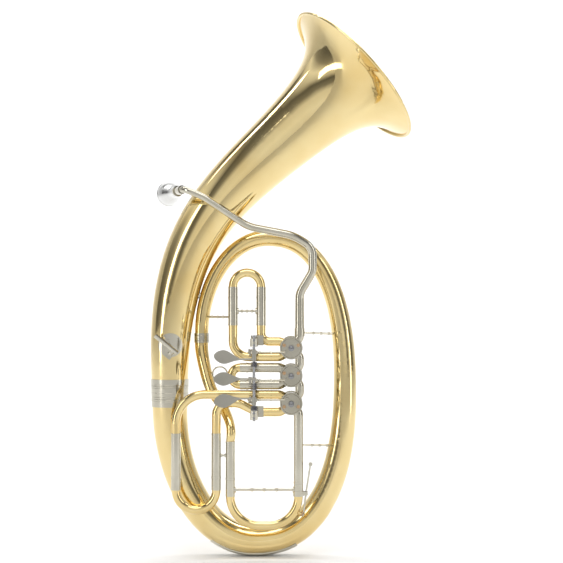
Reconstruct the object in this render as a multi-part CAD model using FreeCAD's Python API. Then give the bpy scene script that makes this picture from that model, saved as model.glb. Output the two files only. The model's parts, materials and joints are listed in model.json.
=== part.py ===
import FreeCAD, Part
import math
import os

# Tenor horn in B flat: oval body with three rotary valves, four slides and a mouthpiece.
# The drawing frame has its zero on the middle valve's axis: +X right, +Y away from the
# levers (towards the player), +Z up.  At the end every piece is moved so that the zero is
# under the middle of the whole instrument, at its lowest point.

os.makedirs("parts", exist_ok=True)
Vec = FreeCAD.Vector

# ---------------------------------------------------------------- driving dimensions (mm)
# Bell branch: a slow cone that opens into a flare at the rim.
BELL_RIM_R = 121.5
BELL_START_R = 25.9
BELL_TAPER = 0.0405
FLARE_LENGTH = 52.0
BELL_RISE = 43.0
BELL_TILT = 9.5
BELL_MOUTH_X = 94.6
BELL_MOUTH_Z = 444.6
BELL_THROAT_LENGTH = 123.6
BELL_PULL_LOW = 202.0
BELL_PULL_HIGH = 147.0
BELL_WALL = 0.7
BEAD_R = 2.3
RIM_WIRE_R = 1.2

# The oval: extreme points of its centre line and its radius at each of them.
OVAL_INNER_X = -131.4
OVAL_INNER_Z = 57.7
OVAL_TOP_X = -33.9
OVAL_TOP_Z = 199.5
OVAL_RIGHT_X = 79.3
OVAL_RIGHT_Z = -15.3
OVAL_BOTTOM_X = -52.9
OVAL_BOTTOM_Z = -244.6
OVAL_LEFT_X = -178.1
OVAL_LEFT_Z = -48.0
OVAL_FULLNESS = 2.35
OVAL_SOFT_FULLNESS = 2.02
INNER_R = 10.0
TOP_R = 12.2
RIGHT_R = 16.8
BOTTOM_R = 21.6
BRANCH_WALL = 0.6
BOW_JOINT_SHARE = 0.56
TAIL_DROP = 12.0

# Cylindrical tubing of the valves and slides.
BORE_R = 5.9
LEG_R = 6.35
SLIDE_FIT = 0.05
OUTER_LEG_WALL = 0.55
ELBOW_R = 6.5
RING_STEP = 0.4
RING_HEIGHT = 2.6
SLEEVE_GAP = 0.5

# Valves.
VALVE_PITCH = 40.0
VALVE_DEPTH = -38.0
CASING_R = 15.2
CASING_WALL = 1.8
CASING_HALF = 18.0
ROTOR_FIT = 0.05
PASSAGE_R = 5.0
SPINDLE_R = 3.0
FACE_PLATE_R = 16.2
FACE_PLATE_THICK = 2.4
REAR_CAP_THICK = 5.0
PIN_RADIUS = 8.5
PIN_R = 1.4
STOP_ARM_THICK = 2.2
ROD_R = 1.2
EYE_R = 3.2
PORT_X = 12.1

# Slides: leg positions, ends of the outer legs and start of the bows.
FIRST_LEFT_X = -84.1
FIRST_RIGHT_X = -43.5
FIRST_FOOT_Z = 72.3
FIRST_RING_Z = 113.9
FIRST_BOW_Z = 127.8
FIRST_UPPER_Z = VALVE_PITCH + 8.8
FIRST_LOWER_Z = VALVE_PITCH - 13.6
SECOND_UPPER_Z = 10.9
SECOND_LOWER_Z = -13.7
SECOND_RING_X = -65.0
SECOND_BOW_X = -74.0
THIRD_LEFT_X = -166.7
THIRD_RIGHT_X = -108.3
THIRD_UPPER_Z = 12.0 - VALVE_PITCH
THIRD_LOWER_Z = -VALVE_PITCH - 13.3
THIRD_HUMP_Z = -VALVE_PITCH - 0.2
THIRD_FOOT_Z = -84.0
THIRD_RING_Z = -148.9
THIRD_BOW_Z = -166.0
THIRD_BEND_R = 42.0
MAIN_LEFT_X = -88.0
MAIN_RIGHT_X = 10.4
MAIN_FOOT_Z = -95.6
MAIN_RING_LEFT_Z = -151.0
MAIN_RING_RIGHT_Z = -156.5
MAIN_BOW_Z = -175.2
MAIN_BOW_R = 42.5
SLIDE_HOLD = 50.0

# Lever rack.
AXLE_X = -52.9
AXLE_FORWARD = 53.0
AXLE_R = 2.0
AXLE_FIT = 0.06
HUB_R = 3.3
LEVER_HEIGHTS = (VALVE_PITCH - 14.4, -2.2, 10.0 - VALVE_PITCH)
PADDLE_TIP_X = -110.0
PADDLE_R = 9.6
PADDLE_THICK = 1.6
ARM_R = 1.3
SPRING_WIRE_R = 0.45

# Leadpipe and mouthpiece.
LEADPIPE_WIDE_R = 6.6
LEADPIPE_NARROW_R = 4.8
LEADPIPE_WALL = 0.6
LEADPIPE_FORWARD = -46.0
RECEIVER_R = 6.4
RECEIVER_LENGTH = 30.0
MOUTHPIECE_RIM_R = 18.4
MOUTHPIECE_REACH = 60.0
SHANK_R = 4.9
SHANK_INSERT = 24.0

# Small fittings.
FLANGE_R = 4.4
BRACE_R = 1.5
THUMB_RING_R = 10.8
THUMB_RING_WIRE = 1.15
LYRE_PLATE_R = 17.5
LYRE_SOCKET_R = 3.5
LYRE_BORE_R = 2.6
LYRE_SOCKET_LENGTH = 41.0
GUARD_THICK = 1.3
GUARD_HALF_WIDTH = 13.0
FERRULE_THICK = 0.9
GAP = 0.35

# ---------------------------------------------------------------- sizes that follow
OUTER_BORE_R = LEG_R + SLIDE_FIT
OUTER_LEG_R = OUTER_BORE_R + OUTER_LEG_WALL
RING_R = OUTER_LEG_R + RING_STEP
CASING_BORE_R = CASING_R - CASING_WALL
ROTOR_R = CASING_BORE_R - ROTOR_FIT
PLATE_FRONT = VALVE_DEPTH - CASING_HALF - FACE_PLATE_THICK
ARM_BACK = PLATE_FRONT - 0.6
ARM_FRONT = ARM_BACK - STOP_ARM_THICK
ROD_DEPTH = ARM_FRONT - GAP - ROD_R - 0.4
AXLE_DEPTH = VALVE_DEPTH - AXLE_FORWARD
PIN_OFFSET = PIN_RADIUS * math.sin(math.radians(45))
CRANK_DEPTH = ROD_DEPTH - AXLE_DEPTH
CRANK_R = math.hypot(CRANK_DEPTH, PIN_OFFSET)
LEVER_STROKE = 2 * math.degrees(math.asin(PIN_OFFSET / CRANK_R))
VALVE_HEIGHTS = (VALVE_PITCH, 0.0, -VALVE_PITCH)
PIN_SIDES = (-1, -1, 1)
ROD_HEIGHTS = tuple(z + side * PIN_OFFSET for z, side in zip(VALVE_HEIGHTS, PIN_SIDES))

ACROSS = Vec(1, 0, 0)
BACK = Vec(0, 1, 0)
UP = Vec(0, 0, 1)
pieces = {}


# ---------------------------------------------------------------- helpers
def unit(vector):
    result = Vec(vector)
    return result.normalize()


def rounded_path(points, radii):
    """A wire of straight runs joined by tangent arcs, one radius for each inner point."""
    edges = []
    start = points[0]
    for before, corner, after, radius in zip(points, points[1:], points[2:], radii):
        back_way = unit(before - corner)
        on_way = unit(after - corner)
        half = back_way.getAngle(on_way) / 2
        cut = radius / math.tan(half)
        arc_in = corner + back_way * cut
        arc_out = corner + on_way * cut
        centre = corner + unit(back_way + on_way) * (radius / math.sin(half))
        middle = centre + unit(corner - centre) * radius
        if (arc_in - start).Length > 0.01:
            edges.append(Part.LineSegment(start, arc_in).toShape())
        edges.append(Part.Arc(arc_in, middle, arc_out).toShape())
        start = arc_out
    edges.append(Part.LineSegment(start, points[-1]).toShape())
    return Part.Wire(edges)


def rod_along(path, radius):
    """A round bar that follows a wire."""
    first = path.OrderedEdges[0]
    start = first.valueAt(first.FirstParameter)
    heading = first.tangentAt(first.FirstParameter)
    profile = Part.Wire(Part.Circle(start, heading, radius).toShape())
    return Part.Wire(path.OrderedEdges).makePipeShell([profile], True, True)


def tube_along(path, outer, inner):
    return rod_along(path, outer).cut(rod_along(path, inner))


def ring_section(point, heading, radius):
    """A circle square to heading, always started from the same side of the tube."""
    side = unit(BACK - heading * BACK.dot(heading))
    turn = FreeCAD.Rotation(side, heading.cross(side), heading, "ZXY")
    circle = Part.makeCircle(radius, Vec(0, 0, 0), UP)
    circle.Placement = FreeCAD.Placement(point, turn)
    return Part.Wire(circle)


def cone_along(points, headings, radii):
    """A solid of changing radius through round sections."""
    sections = [ring_section(*item) for item in zip(points, headings, radii)]
    return Part.makeLoft(sections, True, False, False, 5)


def hollow_cone(points, headings, radii, wall):
    inner = [radius - wall for radius in radii]
    return cone_along(points, headings, radii).cut(cone_along(points, headings, inner))


def headings_of(points, first=None, last=None):
    """Directions along a line of points, by differences."""
    result = []
    for index in range(len(points)):
        low = max(index - 1, 0)
        high = min(index + 1, len(points) - 1)
        result.append(unit(points[high] - points[low]))
    if first:
        result[0] = first
    if last:
        result[-1] = last
    return result


def bar(start, end, radius):
    return Part.makeCylinder(radius, (end - start).Length, start, end - start)


def pipe(start, end, outer, inner):
    return bar(start, end, outer).cut(bar(start, end, inner))


def block(low, high):
    size = Vec(*high) - Vec(*low)
    return Part.makeBox(size.x, size.y, size.z, Vec(*low))


def save(name, shape):
    pieces[name] = shape


def group(*shapes):
    return Part.makeCompound(list(shapes))


def blend_radius(stations, radii, place):
    """A smooth radius through a few stations along a tube."""
    slopes = []
    for index in range(len(stations)):
        low = max(index - 1, 0)
        high = min(index + 1, len(stations) - 1)
        slopes.append((radii[high] - radii[low]) / (stations[high] - stations[low]))
    for index in range(len(stations) - 1):
        if place <= stations[index + 1] or index == len(stations) - 2:
            span = stations[index + 1] - stations[index]
            t = (place - stations[index]) / span
            rise = (2 * t**3 - 3 * t**2 + 1) * radii[index] + (3 * t**2 - 2 * t**3) * radii[index + 1]
            lean = (t**3 - 2 * t**2 + t) * slopes[index] + (t**3 - t**2) * slopes[index + 1]
            return rise + lean * span


# ---------------------------------------------------------------- bell branch
BELL_START = Vec(OVAL_LEFT_X, 0, OVAL_LEFT_Z + 20)
BELL_BEND = Vec(OVAL_LEFT_X, 0, 6.6)
TILT = math.radians(BELL_TILT)
RISE = math.radians(BELL_RISE)
BELL_AXIS = Vec(math.cos(RISE) * math.cos(TILT), math.sin(TILT), math.sin(RISE) * math.cos(TILT))
THROAT_BACK = BELL_PULL_HIGH * math.sin(TILT)
MOUTH = Vec(BELL_MOUTH_X, THROAT_BACK + BELL_THROAT_LENGTH * math.sin(TILT), BELL_MOUTH_Z)
THROAT = MOUTH - BELL_AXIS * BELL_THROAT_LENGTH


def bell_curve():
    """The bent part of the bell's centre line, as closely spaced points with their distance."""
    curve = Part.BezierCurve()
    pull_low = BELL_BEND + UP * BELL_PULL_LOW
    pull_high = THROAT - BELL_AXIS * BELL_PULL_HIGH
    curve.setPoles([BELL_BEND, pull_low, pull_high, THROAT])
    count = 22
    points = [BELL_START]
    points += [curve.value(index / count) for index in range(count + 1)]
    return points


bell_points = bell_curve()
bell_places = [0.0]
for before, after in zip(bell_points, bell_points[1:]):
    bell_places.append(bell_places[-1] + (after - before).Length)
BELL_LENGTH = bell_places[-1] + BELL_THROAT_LENGTH
bell_headings = headings_of(bell_points, UP, BELL_AXIS)
bell_headings[1] = UP
CONE_END_R = BELL_START_R + BELL_TAPER * BELL_LENGTH
FLARE_GAIN = BELL_RIM_R - BEAD_R - CONE_END_R


def bell_radius(place):
    return BELL_START_R + BELL_TAPER * place + FLARE_GAIN * flare_share(place) ** 2


def flare_share(place):
    return FLARE_LENGTH / (FLARE_LENGTH + BELL_LENGTH - place)


def bell_slope(place):
    return BELL_TAPER + 2 * FLARE_GAIN * flare_share(place) ** 3 / FLARE_LENGTH


def bell_skin(inner_offset, outer_offset, first, last):
    """A sleeve that lies on the bell branch between two of its stations."""
    part = slice(first, last + 1)
    places = bell_places[part]
    outer = [bell_radius(place) + outer_offset for place in places]
    inner = [bell_radius(place) + inner_offset for place in places]
    outside = cone_along(bell_points[part], bell_headings[part], outer)
    return outside.cut(cone_along(bell_points[part], bell_headings[part], inner))


def flare_line(offset):
    """One side of the flare's outline, in the plane of local radius and distance."""
    count = 20
    points = []
    for index in range(count + 1):
        share = 1 - (1 - index / count) ** 1.6
        place = bell_places[-1] + BELL_THROAT_LENGTH * share
        lean = math.sqrt(1 + bell_slope(place) ** 2) if share > 0 else 1
        points.append(Vec(bell_radius(place) - offset * lean, 0, place - bell_places[-1]))
    curve = Part.BSplineCurve()
    curve.interpolate(points)
    return curve.toShape(), points


def make_bell():
    stem = bell_skin(-BELL_WALL, 0, 0, len(bell_points) - 1)
    outer_edge, outer_points = flare_line(0)
    inner_edge, inner_points = flare_line(BELL_WALL)
    lip = Part.LineSegment(outer_points[-1], inner_points[-1]).toShape()
    foot = Part.LineSegment(inner_points[0], outer_points[0]).toShape()
    outline = Part.Face(Part.Wire(Part.__sortEdges__([outer_edge, lip, inner_edge, foot])))
    flare = outline.revolve(Vec(0, 0, 0), UP, 360)
    bead_height = outer_points[-1].z - BEAD_R / 2
    centre = Vec(0, 0, bead_height)
    bead_ring_r = outer_points[-1].x
    bead = Part.makeTorus(bead_ring_r, BEAD_R, centre, UP)
    hollow = Part.makeTorus(bead_ring_r, RIM_WIRE_R + 0.02, centre, UP)
    wire = Part.makeTorus(bead_ring_r, RIM_WIRE_R, centre, UP)
    turn = FreeCAD.Rotation(UP, BELL_AXIS)
    place = FreeCAD.Placement(THROAT, turn)
    mouth = flare.fuse(bead).cut(hollow)
    mouth.Placement = place
    wire.Placement = place
    save("bell", stem.fuse(mouth).removeSplitter())
    save("rim_wire", wire)


make_bell()


# ---------------------------------------------------------------- the oval
def quarter(centre_x, centre_z, half_x, half_z, fullness, begin, end, count):
    """Points on a quarter of a rounded oval, from one angle to another in degrees."""
    result = []
    for index in range(count + 1):
        angle = math.radians(begin + (end - begin) * index / count)
        c = math.cos(angle)
        s = math.sin(angle)
        x = math.copysign(abs(c) ** (2 / fullness), c) * half_x
        z = math.copysign(abs(s) ** (2 / fullness), s) * half_z
        result.append(Vec(centre_x + x, 0, centre_z + z))
    return result


def oval_centre_line():
    steps = 60
    line = quarter(OVAL_TOP_X, OVAL_INNER_Z, OVAL_TOP_X - OVAL_INNER_X, OVAL_TOP_Z - OVAL_INNER_Z,
                   2.0, 180, 90, steps)
    line += quarter(OVAL_TOP_X, OVAL_RIGHT_Z, OVAL_RIGHT_X - OVAL_TOP_X, OVAL_TOP_Z - OVAL_RIGHT_Z,
                    OVAL_FULLNESS, 90, 0, steps)[1:]
    line += quarter(OVAL_BOTTOM_X, OVAL_RIGHT_Z, OVAL_RIGHT_X - OVAL_BOTTOM_X,
                    OVAL_RIGHT_Z - OVAL_BOTTOM_Z, OVAL_FULLNESS, 0, -90, steps)[1:]
    line += quarter(OVAL_BOTTOM_X, OVAL_LEFT_Z, OVAL_BOTTOM_X - OVAL_LEFT_X,
                    OVAL_LEFT_Z - OVAL_BOTTOM_Z, OVAL_SOFT_FULLNESS, 270, 180, steps)[1:]
    return line, [0, steps, 2 * steps, 3 * steps, 4 * steps]


oval_line, oval_corners = oval_centre_line()
oval_places = [0.0]
for before, after in zip(oval_line, oval_line[1:]):
    oval_places.append(oval_places[-1] + (after - before).Length)
OVAL_STATIONS = [oval_places[index] for index in oval_corners]
OVAL_END_R = bell_radius(0) - BRANCH_WALL * 0.5
OVAL_RADII = [INNER_R, TOP_R, RIGHT_R, BOTTOM_R, OVAL_END_R]


def oval_point(place):
    """The point at a distance along the oval, and its direction."""
    for index in range(1, len(oval_places)):
        if place <= oval_places[index] + 1e-6:
            before = oval_line[index - 1]
            after = oval_line[index]
            share = (place - oval_places[index - 1]) / (oval_places[index] - oval_places[index - 1])
            return before + (after - before) * share


def oval_radius(place):
    return blend_radius(OVAL_STATIONS, OVAL_RADII, place)


def oval_heading(place):
    reach = 6.0
    low = max(place - reach, 0)
    high = min(place + reach, oval_places[-1])
    if place < 1e-6 or place > oval_places[-1] - 1e-6:
        return Vec(UP)
    return unit(oval_point(high) - oval_point(low))


def oval_sections(begin, end, step=17.0):
    count = max(int((end - begin) / step), 2)
    places = [begin + (end - begin) * index / count for index in range(count + 1)]
    return [oval_point(place) for place in places], [oval_heading(place) for place in places], places


def oval_skin(begin, end, inner_offset, outer_offset):
    points, headings, places = oval_sections(begin, end)
    outside = cone_along(points, headings, [oval_radius(place) + outer_offset for place in places])
    return outside.cut(cone_along(points, headings, [oval_radius(p) + inner_offset for p in places]))


def straight_tail(points, headings, radii, more_points, more_radii):
    return points + more_points, headings + [UP] * len(more_points), radii + more_radii


BOW_JOINT = OVAL_STATIONS[2] + (OVAL_STATIONS[3] - OVAL_STATIONS[2]) * BOW_JOINT_SHARE
OVAL_END = oval_places[-1]
top_points, top_headings, top_places = oval_sections(0, BOW_JOINT)
top_points = [Vec(OVAL_INNER_X, 0, OVAL_INNER_Z - TAIL_DROP)] + top_points
top_radii = [INNER_R] + [oval_radius(place) for place in top_places]
save("top_branch", hollow_cone(top_points, [UP] + top_headings, top_radii, BRANCH_WALL))

bow_points, bow_headings, bow_places = oval_sections(BOW_JOINT, OVAL_END)
bow_radii = [oval_radius(place) for place in bow_places]
bow_points, bow_headings, bow_radii = straight_tail(
    bow_points, bow_headings, bow_radii, [Vec(OVAL_LEFT_X, 0, BELL_START.z)], [bell_radius(0)])
save("bottom_bow", hollow_cone(bow_points, bow_headings, bow_radii, BRANCH_WALL))

# Silver ferrule over the joint of bow and bell.
FERRULE_TOP = Vec(OVAL_LEFT_X, 0, OVAL_LEFT_Z + 40.4)


def bell_ferrule():
    low = Vec(OVAL_LEFT_X, 0, OVAL_LEFT_Z)
    height = FERRULE_TOP.z - low.z
    low_r = OVAL_END_R
    high_r = bell_radius(height - 20)
    shell = Part.makeCone(low_r + FERRULE_THICK, high_r + FERRULE_THICK, height, low, UP)
    for share in (0.28, 0.36, 0.69, 0.77):
        level = low + UP * height * share
        radius = low_r + (high_r - low_r) * share + FERRULE_THICK
        shell = shell.cut(Part.makeTorus(radius, 0.3, level, UP))
    shell = shell.cut(bar(low, low + UP * 20, low_r).fuse(bar(low + UP * 20, FERRULE_TOP, low_r)))
    core_low = Part.makeCone(low_r, bell_radius(0), 20, low, UP)
    core_high = Part.makeCone(bell_radius(0), high_r, height - 20, low + UP * 20, UP)
    return shell.cut(core_low).cut(core_high)


save("bell_ferrule", bell_ferrule())


def bow_guard():
    begin = OVAL_STATIONS[3] - 54
    end = OVAL_STATIONS[3] + 56
    skin = oval_skin(begin, end, 0.02, GUARD_THICK)
    low = OVAL_BOTTOM_Z - BOTTOM_R - 20
    keep = block((OVAL_BOTTOM_X - 90, -GUARD_HALF_WIDTH, low),
                 (OVAL_BOTTOM_X + 90, GUARD_HALF_WIDTH, OVAL_BOTTOM_Z + 12))
    return skin.common(keep)


save("bow_guard", bow_guard())

# The tail joins the oval's inner end to the main slide, behind the third slide's tubes.
TAIL_TOP = Vec(OVAL_INNER_X, 0, OVAL_INNER_Z - TAIL_DROP)
TAIL_FOOT = Vec(MAIN_LEFT_X, VALVE_DEPTH, MAIN_FOOT_Z)


def tail_line():
    curve = Part.BSplineCurve()
    behind = VALVE_DEPTH + ELBOW_R + INNER_R + 1
    through = [
        TAIL_TOP,
        TAIL_TOP + Vec(5.4, -0.36 * abs(behind), -38),
        Vec(THIRD_RIGHT_X - 5.0, behind, THIRD_UPPER_Z + 1),
        Vec(THIRD_RIGHT_X + 7.8, behind, THIRD_UPPER_Z - 18),
        Vec(MAIN_LEFT_X - 2.4, behind - 7.5, THIRD_UPPER_Z - 38),
        TAIL_FOOT,
    ]
    pull = Vec(0, 0, TAIL_FOOT.z - TAIL_TOP.z)
    curve.interpolate(Points=through, InitialTangent=pull, FinalTangent=pull)
    return curve


tail_curve = tail_line()
tail_count = 8
tail_first = tail_curve.FirstParameter
tail_span = tail_curve.LastParameter - tail_first
tail_params = [tail_first + tail_span * index / tail_count for index in range(tail_count + 1)]
tail_points = [tail_curve.value(t) for t in tail_params]
tail_headings = [unit(tail_curve.tangent(t)[0]) for t in tail_params]
tail_radii = [INNER_R + (ELBOW_R - INNER_R) * (i / tail_count) for i in range(tail_count + 1)]
save("tail_branch", hollow_cone(tail_points, tail_headings, tail_radii, BRANCH_WALL))
tail_solid = cone_along(tail_points, tail_headings, tail_radii)

FERRULE_LOW = TAIL_TOP
branch_ferrule = pipe(FERRULE_LOW, FERRULE_LOW + UP * 14, INNER_R + 1.0, INNER_R + 0.15)
for level in (3.0, 11.0):
    groove = Part.makeTorus(INNER_R + 1.0, 0.3, FERRULE_LOW + UP * level, UP)
    branch_ferrule = branch_ferrule.cut(groove)
save("branch_ferrule", branch_ferrule)


# ---------------------------------------------------------------- valves
def at(x, z, y=None):
    return Vec(x, VALVE_DEPTH if y is None else y, z)


def valve_cylinder(height, front, back, radius):
    return bar(Vec(0, front, height), Vec(0, back, height), radius)


casing_front = VALVE_DEPTH - CASING_HALF
casing_back = VALVE_DEPTH + CASING_HALF
casing_solids = [valve_cylinder(z, casing_front, casing_back, CASING_R) for z in VALVE_HEIGHTS]
casing_block = casing_solids[0].fuse(casing_solids[1]).fuse(casing_solids[2])

knuckle_paths = []
for high in VALVE_HEIGHTS[:2]:
    low = high - VALVE_PITCH
    corners = [at(5, high - 6.5), at(PORT_X, high - 13), at(PORT_X, low + 13), at(5, low + 6.5)]
    knuckle_paths.append(rounded_path(corners, [8.0, 8.0]))

LEADPIPE_ENTRY = [at(5, VALVE_PITCH + 6.5), at(PORT_X, VALVE_PITCH + 14)]
main_out_path = rounded_path([at(4, -VALVE_PITCH - 5), at(MAIN_RIGHT_X, -VALVE_PITCH - 15),
                              at(MAIN_RIGHT_X, MAIN_RING_RIGHT_Z)], [9.0])


def port_stub(height, leg_height):
    """The first points of a tube that leaves a casing to the left, inside it and just outside."""
    rise = leg_height - height
    return [at(-4, height + rise * 0.45), at(-CASING_R - 1.5, leg_height)]


FIRST_ELBOW_R = 12.0
FIRST_BEND_R = 23.0
first_right_elbow = rounded_path(
    port_stub(VALVE_PITCH, FIRST_UPPER_Z)
    + [at(FIRST_RIGHT_X, FIRST_UPPER_Z), at(FIRST_RIGHT_X, FIRST_FOOT_Z)], [9.0, FIRST_ELBOW_R])
first_left_elbow = rounded_path(
    port_stub(VALVE_PITCH, FIRST_LOWER_Z)
    + [at(FIRST_LEFT_X, FIRST_LOWER_Z), at(FIRST_LEFT_X, FIRST_FOOT_Z)], [9.0, FIRST_BEND_R])
third_upper = rounded_path(
    port_stub(-VALVE_PITCH, THIRD_UPPER_Z)
    + [at(THIRD_LEFT_X, THIRD_UPPER_Z), at(THIRD_LEFT_X, THIRD_FOOT_Z)], [9.0, THIRD_BEND_R])
third_lower = rounded_path(
    port_stub(-VALVE_PITCH, THIRD_LOWER_Z)
    + [at(-50, THIRD_LOWER_Z), at(-76, THIRD_HUMP_Z), at(THIRD_RIGHT_X, THIRD_HUMP_Z),
       at(THIRD_RIGHT_X, THIRD_FOOT_Z)], [9.0, 30.0, 30.0, 17.5])
second_ends = [(SECOND_UPPER_Z, SECOND_RING_X), (SECOND_LOWER_Z, SECOND_RING_X)]


def seated(path, outer, inner):
    """A tube with its end shaped to the casings."""
    return tube_along(path, outer, inner).cut(casing_block)


def bores_of(*paths):
    shape = rod_along(paths[0], BORE_R)
    for path in paths[1:]:
        shape = shape.fuse(rod_along(path, BORE_R))
    return shape


entry_path = rounded_path(LEADPIPE_ENTRY + [at(PORT_X, VALVE_PITCH + 30)], [8.0])
second_paths = [rounded_path(port_stub(0, z) + [at(x, z)], [9.0]) for z, x in second_ends]
port_bores = [
    bores_of(entry_path, knuckle_paths[0], first_right_elbow, first_left_elbow),
    bores_of(knuckle_paths[0], knuckle_paths[1], second_paths[0], second_paths[1]),
    bores_of(knuckle_paths[1], main_out_path, third_upper, third_lower),
]
casings = []
face_plates = []
rear_caps = []
for height, solid, bores in zip(VALVE_HEIGHTS, casing_solids, port_bores):
    chamber = valve_cylinder(height, casing_front - 1, casing_back + 1, CASING_BORE_R)
    casings.append(solid.cut(chamber).cut(bores))
    plate = valve_cylinder(height, PLATE_FRONT, casing_front, FACE_PLATE_R)
    plate = plate.fuse(valve_cylinder(height, casing_front, casing_front + 2, CASING_BORE_R - 0.02))
    plate = plate.cut(valve_cylinder(height, PLATE_FRONT - 1, casing_front + 3, SPINDLE_R + SLIDE_FIT))
    groove = Part.makeTorus(FACE_PLATE_R - 2.2, 0.45, Vec(0, PLATE_FRONT, height), BACK)
    face_plates.append(plate.cut(groove))
    cap = valve_cylinder(height, casing_back, casing_back + REAR_CAP_THICK, FACE_PLATE_R)
    cap = cap.fuse(valve_cylinder(height, casing_back - 2, casing_back, CASING_BORE_R - 0.02))
    cap = cap.cut(valve_cylinder(height, casing_back - 3, casing_back + 2.5, SPINDLE_R + SLIDE_FIT))
    cap = cap.cut(Part.makeTorus(FACE_PLATE_R - 4, 0.6, Vec(0, casing_back + REAR_CAP_THICK, height), BACK))
    rear_caps.append(cap)
save("valve_casings", group(*casings))
save("face_plates", group(*face_plates))
save("rear_caps", group(*rear_caps))
save("valve_knuckles", group(*[seated(path, ELBOW_R, BORE_R) for path in knuckle_paths]))
save("first_elbows", group(seated(first_right_elbow, ELBOW_R, BORE_R),
                           seated(first_left_elbow, ELBOW_R, BORE_R)))
save("third_elbows", group(seated(third_upper, ELBOW_R, BORE_R), seated(third_lower, ELBOW_R, BORE_R)))


# ---------------------------------------------------------------- slides
def outer_leg(foot, ring_end):
    """A fixed slide tube with a ring at its open end and a socket lip at its foot."""
    way = unit(ring_end - foot)
    body = bar(foot, ring_end, OUTER_LEG_R)
    body = body.fuse(bar(ring_end - way * RING_HEIGHT, ring_end, RING_R))
    body = body.fuse(bar(foot, foot + way * 1.5, RING_R))
    return body.cut(bar(foot - way, ring_end + way, OUTER_BORE_R))


def inner_leg(ring_end, bow_start, hold):
    """A moving slide tube: its hidden length, then the sleeve seen below the ring."""
    way = unit(bow_start - ring_end)
    body = bar(ring_end - way * hold, bow_start, LEG_R)
    body = body.fuse(bar(ring_end + way * SLEEVE_GAP, bow_start, OUTER_LEG_R))
    return body.cut(bar(ring_end - way * (hold + 1), bow_start + way, BORE_R))


save("first_outer_legs", group(
    outer_leg(at(FIRST_LEFT_X, FIRST_FOOT_Z), at(FIRST_LEFT_X, FIRST_RING_Z)),
    outer_leg(at(FIRST_RIGHT_X, FIRST_FOOT_Z), at(FIRST_RIGHT_X, FIRST_RING_Z))))
FIRST_HOLD = FIRST_RING_Z - FIRST_FOOT_Z - 3
save("first_slide_legs", group(
    inner_leg(at(FIRST_LEFT_X, FIRST_RING_Z), at(FIRST_LEFT_X, FIRST_BOW_Z), FIRST_HOLD),
    inner_leg(at(FIRST_RIGHT_X, FIRST_RING_Z), at(FIRST_RIGHT_X, FIRST_BOW_Z), FIRST_HOLD)))


def half_round_bow(start, end, away):
    radius = (end - start).Length / 2
    middle = (start + end) * 0.5 + away * radius
    path = Part.Wire(Part.Arc(start, middle, end).toShape())
    return tube_along(path, LEG_R, BORE_R)


save("first_slide_bow", half_round_bow(
    at(FIRST_LEFT_X, FIRST_BOW_Z), at(FIRST_RIGHT_X, FIRST_BOW_Z), UP))


def second_outer(height):
    path = rounded_path(port_stub(0, height) + [at(SECOND_RING_X, height)], [9.0])
    body = rod_along(path, OUTER_LEG_R)
    body = body.fuse(bar(at(SECOND_RING_X + RING_HEIGHT, height), at(SECOND_RING_X, height), RING_R))
    body = body.cut(rod_along(path, BORE_R))
    slide_room = bar(at(SECOND_RING_X - 1, height), at(SECOND_FOOT_X, height), OUTER_BORE_R)
    return body.cut(slide_room).cut(casing_block)


SECOND_FOOT_X = -CASING_R - 12
SECOND_HOLD = SECOND_FOOT_X - SECOND_RING_X - 3
save("second_outer_legs", group(second_outer(SECOND_UPPER_Z), second_outer(SECOND_LOWER_Z)))
save("second_slide_legs", group(*[
    inner_leg(at(SECOND_RING_X, z), at(SECOND_BOW_X, z), SECOND_HOLD)
    for z in (SECOND_UPPER_Z, SECOND_LOWER_Z)]))
save("second_slide_bow", half_round_bow(
    at(SECOND_BOW_X, SECOND_UPPER_Z), at(SECOND_BOW_X, SECOND_LOWER_Z), Vec(-1, 0, 0)))

save("third_outer_legs", group(*[
    outer_leg(at(x, THIRD_FOOT_Z), at(x, THIRD_RING_Z)) for x in (THIRD_LEFT_X, THIRD_RIGHT_X)]))
save("third_slide_legs", group(*[
    inner_leg(at(x, THIRD_RING_Z), at(x, THIRD_BOW_Z), SLIDE_HOLD + 8)
    for x in (THIRD_LEFT_X, THIRD_RIGHT_X)]))
save("third_slide_bow", half_round_bow(
    at(THIRD_LEFT_X, THIRD_BOW_Z), at(THIRD_RIGHT_X, THIRD_BOW_Z), Vec(0, 0, -1)))


def main_right_outer():
    body = rod_along(main_out_path, OUTER_LEG_R)
    ring_low = at(MAIN_RIGHT_X, MAIN_RING_RIGHT_Z)
    body = body.fuse(bar(ring_low + UP * RING_HEIGHT, ring_low, RING_R))
    body = body.cut(rod_along(main_out_path, BORE_R))
    room_top = at(MAIN_RIGHT_X, MAIN_RING_RIGHT_Z + SLIDE_HOLD + 5)
    return body.cut(bar(ring_low - UP, room_top, OUTER_BORE_R)).cut(casing_block)


save("main_outer_legs", group(
    main_right_outer(), outer_leg(at(MAIN_LEFT_X, MAIN_FOOT_Z), at(MAIN_LEFT_X, MAIN_RING_LEFT_Z))))
save("main_slide_legs", group(
    inner_leg(at(MAIN_LEFT_X, MAIN_RING_LEFT_Z), at(MAIN_LEFT_X, MAIN_BOW_Z), SLIDE_HOLD),
    inner_leg(at(MAIN_RIGHT_X, MAIN_RING_RIGHT_Z), at(MAIN_RIGHT_X, MAIN_BOW_Z), SLIDE_HOLD)))
main_bow_path = rounded_path(
    [at(MAIN_LEFT_X, MAIN_BOW_Z), at(MAIN_LEFT_X, MAIN_BOW_Z - MAIN_BOW_R - 0.01),
     at(MAIN_RIGHT_X, MAIN_BOW_Z - MAIN_BOW_R - 0.01), at(MAIN_RIGHT_X, MAIN_BOW_Z)],
    [MAIN_BOW_R, MAIN_BOW_R])

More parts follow.
